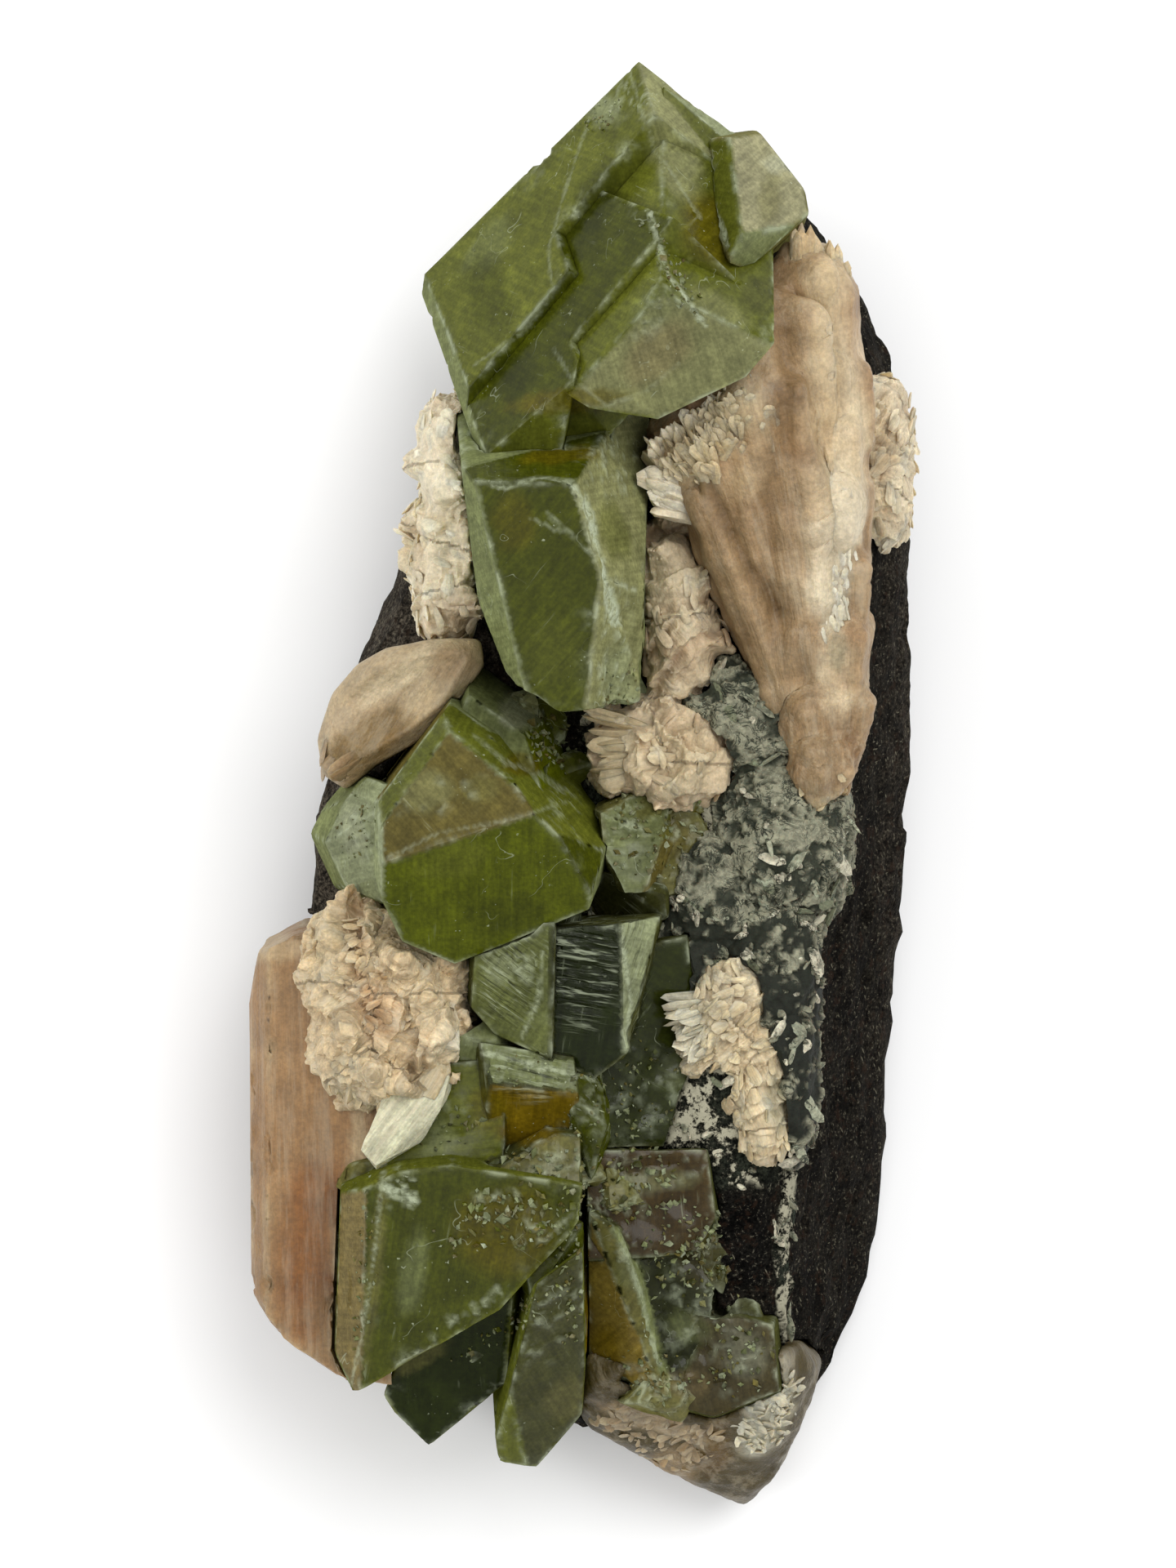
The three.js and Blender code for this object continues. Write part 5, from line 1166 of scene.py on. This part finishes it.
def stilbite_mass(node, look, seed):
    """A continuous mass of fibres: sheets that overlap along its flow, fine fibres on them,
    broken plates, and free blades on it and at its edges."""
    random = np.random.default_rng(seed)
    base, zones, sheaves = look["base"], look["zones"], look["sheaves"]
    lumps = [chunk(*lump, seed + number) for number, lump in enumerate(look.get("lumps", ()))]
    points, tris = remeshed(*joined([solid_of(node)] + lumps), look.get("voxel", SKIN_MESH))
    points = relax(points, tris, look.get("soften", 5))
    along, across, _ = flowing(points, sheaves)
    fibres = across + 0.07 * along[:, None]
    height, edge = 0.5 * fractal(points, 3.6, 3, seed + 90, 0.55), np.zeros(len(points))
    for number, (pitch, drop) in enumerate(look["sheets"]):
        sheet, rim = layered(points, along, across, pitch, drop, seed + 7 * number)
        height, edge = height + sheet, np.maximum(edge, rim * min(1, drop / 0.3))
    for number, (rise, size) in enumerate(look["ridges"]):
        height += rise * fractal(fibres, size, 3, seed + 50 + 9 * number, 0.6)
    fine, streak = fractal(fibres, 0.45, 2, seed + 84, 0.6), fractal(fibres, 1.1, 3, seed + 92, 0.6)
    height += 0.07 * fine + look.get("grit", 0.1) * fractal(points, 0.7, 3, seed + 88, 0.7)
    crease = 1 - smooth(height, -0.5, 0.5)
    tint = zoned(points, base, zones, seed) * (1 + 0.08 * streak + 0.06 * fine)[:, None]
    # painted shade: darker where the surface sinks into creases
    tint = tint * (1 - crease[:, None] * CREASE_SHADE)
    # painted highlight on raised parts and on the edges of the sheets, with real pale streaks along the fibres
    pale = np.clip(0.5 * edge + 0.4 * smooth(streak, 0.15, 0.7) + 0.3 * (1 - crease), 0, 0.75)
    tint = blended(tint, pale * look.get("pale", 0.6), IVORY)
    # the folds' colours are partly painted light: sunken folds are laid darker as painted shade, and some raised
    # folds paler as a painted highlight
    for line, width, rise, colour, amount in look.get("folds", ()):
        share = np.exp(-(line_distance(points, line) / width) ** 2)
        height += rise * share
        tint = blended(tint, amount * share, colour)
    rise = vertex_normals(points, tris) * (height - look.get("sink", 0.35))[:, None]
    grown, bare = Growth(), tree_of((points, tris))
    grown.add(points + rise, tris, tint, fibres)
    for layer in look["layers"]:
        spots, _ = scattered(points, tris, layer["count"], random)
        if "within" in layer:
            spots = spots[zone_share(spots, *layer["within"], seed) > 0.5]
        blades = laid(bare, spots, flowing(spots, sheaves)[2], sizes_of(layer), FIBROUS, random,
                      layer["wander"], layer["tilt"])
        grown.add(*bladed(blades, layer.get("base", base), zones, random, seed))
    for number, (*block, turn, colour) in enumerate(look.get("plates", ())):
        p, t = refine(*chunk(*block, turn, seed + 200 + number), PLATE_MESH)
        lengthwise = np.array([math.cos(math.radians(turn)), math.sin(math.radians(turn)), 0])
        grain = p - 0.93 * (p @ lengthwise)[:, None] * lengthwise
        rough = 0.12 * fractal(grain, 0.8, 3, seed + 210) + 0.15 * fractal(p, 1.5, 3, seed + 211)
        tint = colour * (1 + 0.12 * fractal(grain, 1.2, 3, seed + 212))[:, None]
        grown.add(p + vertex_normals(p, t) * rough[:, None], t, tint, grain)
    for colour, edge in look.get("crests", ()):
        grown.add(*bladed(crest(**edge), colour, zones, random, seed))
    return grown.shape()


BLADES = dict(length=1.8, width=0.9, thick=0.25, lift=0.25, wander=0.2, tilt=0.3)

# lumps: middle, size, turn. plates: the same and a colour. sheets: pitch, drop. ridges: rise,
# width. folds: line, width, rise, colour, amount. crests: colour and what crest() takes.
MASSES = {
    "stilbite_bow_tie": dict(
        name="bow_tie", slot="peach_stilbite", base=PEACH, sheaves=[((18.4, -8, 18), 30)], soften=14,
            sheets=[(9, 0.12), (3.6, 0.08)], ridges=[(0.5, 3), (0.16, 0.9)], grit=0.05, sink=0, pale=0.4,
        lumps=[((8.4, 27, 27), (9, 6, 8), 35), ((6.4, 24, 26), (6, 4, 7), 30)],
        # the ivory band right of the column's fold is a painted highlight, and the tan bands left of it are painted
        # shade
        zones=[(11.4, 24.2, 3.6, 3, 35, BEIGE, 0.85), (18, 33, 2, 10.5, -4, CREAM, 0.95),
            (19.8, 27, 1.8, 10, -2, IVORY, 0.95), (14.4, 27, 1.5, 6, -14, TAN, 0.7),
            (12, 18.6, 3, 4, -30, PEACH, 0.6), (9.6, 26.6, 5, 2.6, 35, CREAM, 0.85),
            (18.4, 18, 1.9, 6, -4, WHITE, 0.95), (18.9, 8.5, 1.5, 5, 0, IVORY, 0.85),
            (14.8, 13, 1.3, 7, 22, TAN, 0.5), (19, 10, 0.8, 2, 0, MOSS, 0.5), (17.6, 1.6, 1.6, 3, 0, FAWN, 0.7),
            (18.6, -2, 2.6, 2, 0, CREAM, 0.9), (7.4, 25, 2.4, 2, 40, CREAM, 0.8)],
        folds=[([(17.3, 42.5), (17.5, 39.1), (17.9, 34.7), (18.1, 29.8), (18.3, 24.8), (18, 19.8)], 2.2, 1.1,
            BEIGE, 0.3), ([(14.9, 34), (15, 26.6), (13.4, 20.1), (14.4, 12)], 0.8, -0.6, TAN, 0.6), ([(7.6, 23.3),
            (10.2, 17.2), (13.1, 11.7), (15.7, 6.6), (17.6, 0.4)], 1.1, 0.7, FAWN, 0.5),
            ([(8.9, 23.3), (11.5, 17.9), (14.4, 13)], 0.5, -0.5, COCOA, 0.8),
            ([(17.9, 23.3), (17.7, 18.8), (17.6, 14.6)], 1.4, 0.5, IVORY, 0.5),
            ([(16.6, 12.4), (17.9, 6.6), (18.2, 1.4)], 1.2, 0.4, FAWN, 0.3),
            ([(12.4, 27.6), (12, 22), (13, 16)], 1.2, 0.4, PEACH, 0.3)],
        plates=[((18, 20.4, 25.6), (7, 2.6, 3.2), 86, WHITE), ((17.8, 15.6, 25), (6.6, 2.4, 3), 95, WHITE),
            ((6, 24, 28.6), (4.6, 3.6, 4), 150, IVORY)],
        layers=[dict(count=1500, length=1.8, width=0.9, thick=0.3, lift=0.6, wander=0.25, tilt=0.4, base=IVORY,
            within=(9.6, 26.4, 5.4, 2.4, 35)), dict(count=4200, length=2, width=0.6, thick=0.2, lift=0.3,
            wander=0.2, tilt=0.6, base=WHITE, within=(18.6, 17, 1.8, 6, -4)), dict(count=240, length=1.6,
            width=0.8, thick=0.25, lift=0.5, wander=0.6, tilt=0.6, base=CREAM, within=(18.4, -1.5, 2.6, 3, 0))],
        crests=[(PALEST, dict(roots=[(13, 28.4, 31), (9, 26.2, 30), (6.4, 23.8, 28)], tips=[(12.8, 31, 33.2),
            (8.6, 28.9, 32.4), (4.4, 25.8, 30.6)], count=90, width=1, thick=0.5, seed=12)), (PALEST,
            dict(roots=[(12.6, 26.6, 32), (9.4, 24.8, 31), (7.4, 22.6, 29)], tips=[(12, 29, 33.8),
            (8.4, 27.1, 32.8), (5.4, 24.6, 31.2)], count=80, width=1, thick=0.45, seed=15)), (PALEST,
            dict(roots=[(8.4, 22, 28), (8.2, 20.4, 27.6)], tips=[(3.8, 23.8, 30.6), (4.8, 21.4, 29.4)], count=14,
            width=1.8, thick=1, seed=13)), (BEIGE, dict(roots=[(16, 36, 28), (18.8, 35, 27)],
            tips=[(15.6, 43, 30.4), (19.4, 40.8, 28)], count=34, width=1.3, thick=0.7, seed=14))]),
    "stilbite_rosette_mid": dict(
        name="rosette_mid", slot="peach_stilbite", base=matt(202, 178, 146), sheets=[(2.6, 0.5), (1.1, 0.2)],
            ridges=[(0.3, 1.6)], voxel=0.23, grit=0.14, pale=0.8, layers=[dict(BLADES, count=60)],
        sheaves=[((6.8, 15.6, 22), (-0.3, 0.9, 0.3)), ((7.6, 10, 22), (0.6, -0.7, 0.2)),
            ((3.4, 2.4, 22), (-0.8, -0.2, 0.3)), ((7.6, 3.4, 22), (0.4, 0.8, 0.3)),
            ((7.4, 0, 22), (0.3, -0.9, 0.2))],
        lumps=[((4.4, 18, 20), (4.5, 8, 10), 0), ((6.4, 20.5, 22), (5, 4, 8), 0), ((1.8, 6, 19), (4, 5, 8), 0)],
        zones=[(7, 2, 4, 3, 0, CREAM, 0.7), (4, 3, 1.6, 1.6, 0, IVORY, 0.6), (7.4, 9, 1.8, 1.6, 0, FAWN, 0.4),
            (6.2, 14.8, 3, 3.6, 0, IVORY, 0.6), (5, 19.6, 1.4, 1.4, 0, PEACH, 0.5)],
        crests=[(CREAM, dict(roots=[(4.6, 4.6, 25), (4.4, 1, 25)], tips=[(-0.6, 5.6, 25.6), (0.2, 0.2, 25)],
            count=14, width=1.7, thick=0.6, seed=34))]),
    "stilbite_upper_left": dict(
        name="upper_left_spray", slot="peach_stilbite", base=matt(252, 240, 210), sheets=[(2.4, 0.5), (1, 0.22)],
            ridges=[(0.3, 1.4)], voxel=0.23, pale=0.8,
        sheaves=[((-11, 27, 20), (-0.5, 0.8, 0.3)), ((-10.6, 22.6, 20), (-0.9, -0.1, 0.3)),
            ((-10.6, 17.6, 18), (-0.9, 0.2, 0.3)), ((-9.4, 13, 18), (-0.2, -0.95, 0.2))],
        zones=[(-11.2, 21, 2.2, 3.6, 0, matt(255, 246, 216), 0.8), (-9.4, 13, 1.8, 2.6, 0, PINK, 0.6),
            (-13.4, 18, 1.4, 2.4, 0, IVORY, 0.8)],
        layers=[dict(BLADES, count=110, length=1.5)]),
    "stilbite_rosette_left": dict(
        name="rosette_left", slot="cream_stilbite", base=matt(202, 176, 136), ridges=[(0.4, 1.3)], voxel=0.21,
            grit=0.16, soften=3,
        sheaves=[((-18.4, -11.8, 24), (-0.8, 0.3, 0.2)), ((-12.6, -13, 25), (0.4, 0.6, 0.4)),
            ((-18.6, -18.6, 24), (-0.8, -0.6, 0.1)), ((-12.4, -18.8, 25), (0.8, -0.4, 0.3)),
            ((-15.6, -22.6, 24), (-0.3, -0.95, 0))],
        sheets=[(2.6, 0.8), (1, 0.35), (0.5, 0.14)],
        zones=[(-16, -17, 2.6, 3.4, 0, matt(184, 140, 98), 0.6), (-14.6, -11.6, 1.4, 1.8, 0, PEACH, 0.5),
            (-19.4, -13, 2, 3, 0, CREAM, 0.7), (-10.8, -19.6, 1.6, 1.6, 0, IVORY, 0.7),
            (-18, -23, 3, 1.6, 0, CREAM, 0.6), (-13, -23.4, 2, 1.6, 53, CREAM, 0.6)],
        plates=[((-13.9, -25.2, 27.6), (9.6, 4.4, 2.2), 53, matt(204, 202, 172)),
            ((-12.6, -22.6, 27.4), (5.4, 3.4, 2.8), 60, CREAM), ((-10.9, -19, 28.6), (2.6, 3.6, 2.4), 20, WHITE),
            ((-16.4, -21.4, 27), (4.6, 1.6, 1.6), 65, CREAM), ((-17.8, -20.6, 26.4), (4.2, 1.4, 1.4), 75, IVORY)],
        folds=[([(-17.9, -9.2), (-17.5, -14.5), (-16.3, -17.3), (-15.2, -18.7)], 0.7, -0.6, matt(176, 134, 94),
            0.5), ([(-19.6, -11), (-19.8, -15), (-18.6, -18.5)], 1.7, 0.4, CREAM, 0.4), ([(-15.6, -12.5),
            (-13.6, -15.5), (-11.2, -17.5)], 1.5, 0.4, CREAM, 0.3),
            ([(-15, -19.5), (-15.2, -22.5)], 1.1, 0.6, CREAM, 0.3),
            ([(-13.2, -18.5), (-13.4, -22)], 0.6, -0.6, PEACH, 0.6),
            ([(-11.6, -18), (-10.4, -20)], 1.1, 0.9, IVORY, 0.6)],
        layers=[dict(BLADES, count=420, length=1.4, within=(-15.8, -15.4, 6.4, 6.8, 0)), dict(BLADES, count=260,
            within=(-18.6, -21.6, 3.4, 2.2, 20), lift=0.4)],
        crests=[(CREAM, dict(roots=[(-18.6, -19, 26.5), (-15, -20.8, 28)], tips=[(-20.2, -24.2, 24.8),
            (-15.6, -25.6, 26.6)], count=18, width=1.7, thick=0.7, seed=45))]),
    "stilbite_spray_right": dict(
        name="spray_right", slot="cream_stilbite", base=CREAM, sheets=[(1.8, 0.4), (0.8, 0.2)],
            ridges=[(0.3, 0.9)], voxel=0.23, pale=0.8, grit=0.16,
        sheaves=[((9.4, -14.6, 22), (-0.5, 0.8, 0.3)), ((12.4, -16.6, 22), (0.7, 0.2, 0.3)),
            ((9.6, -19.4, 22), (-0.8, -0.5, 0.2)), ((13.6, -23, 21), (0.4, -0.9, 0.1)),
            ((14.2, -28, 20), (0.1, -0.95, 0))],
        zones=[(14.6, -24.6, 1.2, 2.2, 0, MOSS, 0.75), (7, -18.4, 2.4, 3.4, 0, CHALK, 0.7),
            (10.8, -15, 2.6, 2.6, 0, IVORY, 0.5)],
        layers=[dict(BLADES, count=120, length=1.4, width=0.8)],
        crests=[(CHALK, dict(roots=[(10.2, -16.2, 23), (10.6, -18.8, 23)], tips=[(5.4, -16.6, 26),
            (7.4, -22, 26)], count=22, width=1.3, thick=0.4, seed=54))]),
    "stilbite_upper_right": dict(
        name="upper_right_spray", slot="cream_stilbite", base=matt(218, 202, 172), sheets=[(2, 0.4), (0.9, 0.2)],
            ridges=[(0.3, 1)], voxel=0.23, pale=0.8,
        sheaves=[((21.6, 28.6, 18), (0.5, 0.8, 0.1)), ((22.6, 24, 16), (0.9, -0.3, 0.2)),
            ((21.6, 20, 17), (0.2, -0.95, 0.1))],
        zones=[(22.6, 26, 1.6, 2.4, 0, PEACH, 0.7), (21.8, 20.4, 2.4, 2.4, 0, IVORY, 0.8)],
        layers=[dict(BLADES, count=70, length=1.5)]),
}
STILBITE = {
    "peach_stilbite": stilbite("peach_stilbite", 0.85),
    "cream_stilbite": stilbite("cream_stilbite", 0.4),
    "salmon_stilbite": stilbite("salmon_stilbite", 0.9),
}
for number, (node, look) in enumerate(MASSES.items()):
    piece(look["name"], stilbite_mass(node, look, 700 + 100 * number), STILBITE[look["slot"]], node,
          sharp_angle=45)


def striated(node, base, zones, seed):
    """A plate of stilbite whose faces carry ridges along +Y."""
    points, tris, outward, reach, *_ = faceted(*solid_of(node), *SLAB_MESH, seed)
    chips = 0.6 * smooth(fractal(points, 1.8, 3, seed), 0.1, 0.6) * np.clip(1 - reach, 0, 1)
    stretched = points * (1, 0.1, 1)
    ridges = 0.09 * fractal(stretched, 1.0, 2, seed + 1) + 0.14 * fractal(stretched, 5.0, 2, seed + 2)
    pits = 0.25 * smooth(fractal(points, 2.2, 3, seed + 3), 0.3, 0.7)
    tone = 1 + 0.22 * fractal(stretched, 2.0, 3, seed + 5)
    edge = 0.5 * np.exp(-reach / 0.5) * smooth(noise(points, 2.0, seed + 6), -0.3, 0.4)
    tint = blended(zoned(points, base, zones, seed) * tone[:, None], edge, CREAM)
    points = points + outward * (ridges - chips - pits - 0.15 * np.exp(-reach / 0.3))[:, None]
    return points, tris, {"grain": points * (1, 0.06, 1), "tint": tint}


def curved(node, base, zones, seed, axes, relief, layers):
    """A smooth rounded mass whose fine lines run along the given axes, with blades on it."""
    random = np.random.default_rng(seed)
    points, tris = refine(*solid_of(node), CURVED_MESH)
    points = relax(points, tris, 5)
    stretched = points @ np.array(axes).T
    rise = CURVED_GROW + relief * fractal(stretched, 1.4, 3, seed)
    tint = zoned(points, base, zones, seed) * (1 + 0.15 * fractal(stretched, 2.4, 3, seed + 2))[:, None]
    grown, bare = Growth(), tree_of((points, tris))
    grown.add(points + vertex_normals(points, tris) * rise[:, None], tris, tint, stretched)
    for layer in layers:
        spots, _ = scattered(points, tris, layer["count"], random, 0.1)
        spots = spots[zone_share(spots, *layer["within"], seed) > 0.5]
        blades = laid(bare, spots, layer["heading"], sizes_of(layer), SPARSE, random, layer["wander"])
        grown.add(*bladed(blades, layer["base"], (), random, seed))
    return grown.shape()


SLAB_ZONES = [
    (-22, -20, 5, 6, 0, matt(168, 134, 94), 0.5), (-21, -36, 3.4, 8, -8, matt(122, 76, 32), 0.8),
    (-17.6, -27, 0.7, 6, 0, CREAM, 0.6), (-24, -12.6, 3, 1.2, 0, CREAM, 0.5), (-19.4, -42, 2, 4, 20, TAN, 0.6)]
# painted light on the petal: the ivory band on top is a painted highlight, and the dark brown band towards the
# lower left is painted shade
PETAL_ZONES = [
    (-17.4, 5.4, 4.4, 1.4, 35, PINK, 0.5), (-17, 3.2, 4.4, 2, 35, matt(126, 102, 64), 0.9),
    (-14.4, 8.2, 4.4, 1, 35, IVORY, 0.5), (-18.6, 0.6, 1.6, 1.4, 0, PEACH, 0.6), (-10.6, 9, 2, 1.6, 0, PEACH, 0.5)]
PETAL_LAYERS = [dict(count=160, within=(-20.2, 0.6, 1.8, 2, 20), heading=(-0.6, -0.8, 0), length=3, width=1.8,
                     thick=0.3, lift=0.5, wander=0.2, base=PEACH)]
TOE_ZONES = [
    (9.6, -51.6, 1.6, 2.4, 0, matt(96, 74, 32), 0.8), (5, -49.4, 5, 1, -20, BEIGE, 0.6),
    (14, -48.6, 2, 4.6, -15, CHALK, 0.8), (7, -53, 2.4, 1.4, -30, FAWN, 0.6)]
TOE_LAYERS = [dict(count=900, within=(14, -48.6, 2.2, 4.8, -15), heading=(0.6, 0.6, 0), length=1.3, width=0.7,
                   thick=0.25, lift=0.5, wander=0.8, base=CHALK),
              dict(count=700, within=(5.6, -50, 5.6, 3, -20), heading=(-0.5, -0.8, 0), length=1.8, width=0.9,
                   thick=0.25, lift=0.25, wander=0.5, base=FAWN)]
SLAB = striated("stilbite_slab", SALMON, SLAB_ZONES, 71)
PETAL = curved("stilbite_petal", matt(182, 162, 128), PETAL_ZONES, 72,
               [[0.85, -0.5, 0], [0.06, 0.1, 0], [0, 0, 1]], 0.08, PETAL_LAYERS)
TOE = curved("stilbite_toe", matt(80, 70, 44), TOE_ZONES, 73,
             [[0.9, 0.4, 0], [-0.05, 0.1, 0], [0, 0, 1]], 0.3, TOE_LAYERS)
piece("salmon_slab", SLAB, STILBITE["salmon_stilbite"], "stilbite_slab", sharp_angle=30)
piece("petal", PETAL, STILBITE["peach_stilbite"], "stilbite_petal", sharp_angle=50)
piece("toe", TOE, STILBITE["peach_stilbite"], "stilbite_toe", sharp_angle=50)

# ---- crust and rock
CRUST_EDGE = [(14.7, -30.7), (15.7, -30.1), (16, -23.2), (14.4, -18.2), (14.7, -13.8), (16.6, -8.8), (17.6, -4.4),
              (20.5, -2.5), (20.6, 6)]  # the crust's right edge, from the foot up
SEAM = [(15.6, -30), (14.9, -36), (15, -46)]  # a thin line of crust along the rock's ridge
ROCK, ROCK_GREY, ROCK_BLACK = linear(19, 17, 13), linear(42, 38, 32), linear(12, 11, 9)
ROCK_GREEN, CRUST_DARK, CRUST_PALE = linear(38, 42, 34), linear(52, 55, 43), matt(150, 149, 127)
# Grains and laths: how many, their length, width, thickness and lift, and their colours.
GRAINS = (700, (0.8, 0.5, 0.35, 0.4), (CHALK, CRUST_PALE, matt(150, 150, 128)))
LATHS = (220, (2.6, 0.9, 0.35, 0.7), (matt(168, 170, 146), CHALK, matt(126, 130, 106)))
CRUST_MESH, CRUST_FLOOR = 0.34, 14  # mesh size; the height above which grains lie on the rock, mm
ROCK_MESH, SEEN_FINER, CRUSTED_FINER = 2.0, 1.15, 0.15  # mesh size, and how much finer parts are, mm
SCATTER = ((0.5, 1.6), (0.5, 1.5), (0.6, 1.4), (0.2, 1.6))


def crust_on_rock(points, seed):
    """How much of the crust covers the rock at each point, 0 to 1."""
    x, y = points[:, 0] - SHIFT[0], points[:, 1] - SHIFT[1]
    edge = np.interp(y, [spot[1] for spot in CRUST_EDGE], [spot[0] for spot in CRUST_EDGE])
    uneven = fractal(points, 2.0, 3, seed)
    share = smooth(edge - x + uneven, -0.2, 0.7) * smooth(x, -1.0, 1.0)
    share *= smooth(y + uneven, -31.5, -30.0) * (1 - smooth(y, 5.0, 8.0)) * (0.55 + 0.45 * smooth(y, -12.0, 0.0))
    seam = 1 - smooth(line_distance(points, SEAM) + 0.4 * uneven, 0.25, 0.6)
    return np.maximum(share, seam * smooth(points[:, 2], 8, 12))


def rock(node, tree, seed):
    """The broken rock, its crusted part rougher and more finely meshed."""
    def longest(places):
        seen = smooth(places[:, 2], 3.0, 8.0)
        return ROCK_MESH - SEEN_FINER * seen - CRUSTED_FINER * (crust_on_rock(places, seed) > 0.1) * seen

    points, tris = refine(*solid_of(node), longest)
    free = smooth(nearness(points, tree), 0.4, 2.0)
    crust = crust_on_rock(points, seed)
    lumps = 0.6 * fractal(points, 7.0, 3, seed) + 0.4 * fractal(points, 1.8, 3, seed + 5, 0.7)
    pits = 0.5 * smooth(noise(points, 2.4, seed + 9), 0.45, 0.8)
    raised = crust * (0.45 + 0.35 * fractal(points, 0.9, 2, seed + 11, 0.7))
    points = points + vertex_normals(points, tris) * ((lumps - pits) * free + raised)[:, None]
    points[:, 2] = np.maximum(points[:, 2], 0)
    x = points[:, 0] - SHIFT[0]
    # painted sheen: greyer towards the right edge, where light grazes the rock's side
    tint = blended(ROCK, 0.7 * smooth(x + fractal(points, 3.0, 2, seed + 12), 21.5, 25.5), ROCK_GREY)
    tint = blended(tint, smooth(-x, 4.0, 9.0), 1.5 * ROCK_GREY)
    tint = blended(tint, zone_share(points, 11.6, -35.0, 3.4, 6.0, 0, seed), ROCK_BLACK)
    return points, tris, {"tint": blended(tint, crust, ROCK_GREEN), "crust": crust}


def crust_mass(node, rocky, seed):
    """The crust: its own lumps, and pale grains and laths scattered over it and the rock near it."""
    random = np.random.default_rng(seed)
    points, tris = refine(*solid_of(node), CRUST_MESH)
    net = fractal(points, 1.6, 4, seed + 4, 0.75) + 0.24 * smooth(points[:, 1], -14, 0) - 0.12
    pale = smooth(net, -0.06, 0.12)
    rise = 0.5 * fractal(points, 2.4, 3, seed) + 0.25 * fractal(points, 0.8, 2, seed + 3) + 0.35 * pale
    under = CRUST_DARK * (0.35 + 0.65 * smooth(points[:, 1], -16, -4))[:, None]
    grown = Growth()
    grown.add(points + vertex_normals(points, tris) * rise[:, None], tris, blended(under, pale, CRUST_PALE),
              points * 0.3)
    wide, wide_tris = joined([rocky, (points, tris)])
    tree, own = tree_of((wide, wide_tris)), tree_of((points, tris))
    centres = wide[wide_tris].mean(axis=1)
    crusted = crust_on_rock(centres, seed) * (centres[:, 2] > CRUST_FLOOR)
    normal, area = triangle_normals(wide, wide_tris)
    share = np.maximum(crusted, nearness(centres, own, 1.0) < 0.6) * area * (normal[:, 2] > 0.1)
    for count, sizes, colours in (GRAINS, LATHS):
        chosen = random.choice(len(wide_tris), count, p=share / share.sum())
        spots = (wide[wide_tris[chosen]] * random.dirichlet((1, 1, 1), count)[..., None]).sum(axis=1)
        spots = spots[fractal(spots, 3.0, 3, seed + 7) > -0.12]
        turn = random.normal(-0.9, 0.9, len(spots))
        heading = np.stack([np.cos(turn), np.sin(turn), np.full(len(turn), 0.2)], 1)
        p, t, _, number, grain = laid(tree, spots, heading, sizes, SCATTER, random, 0.7, 0.8)
        palette = np.array(colours)[random.integers(0, 3, len(spots))]
        tone = random.uniform(0.75, 1.15, len(spots))
        grown.add(p, t, palette[number] * tone[number][:, None], grain)
    return grown.shape()


ROCK_SHAPE = rock("basalt_matrix", tree_of(*map(solid_of, CRYSTALS)), 81)
piece("matrix", ROCK_SHAPE, basalt(), "basalt_matrix")
piece("crust", crust_mass("zeolite_crust", ROCK_SHAPE[:2], 82), zeolite(), "zeolite_crust",
      sharp_angle=50)
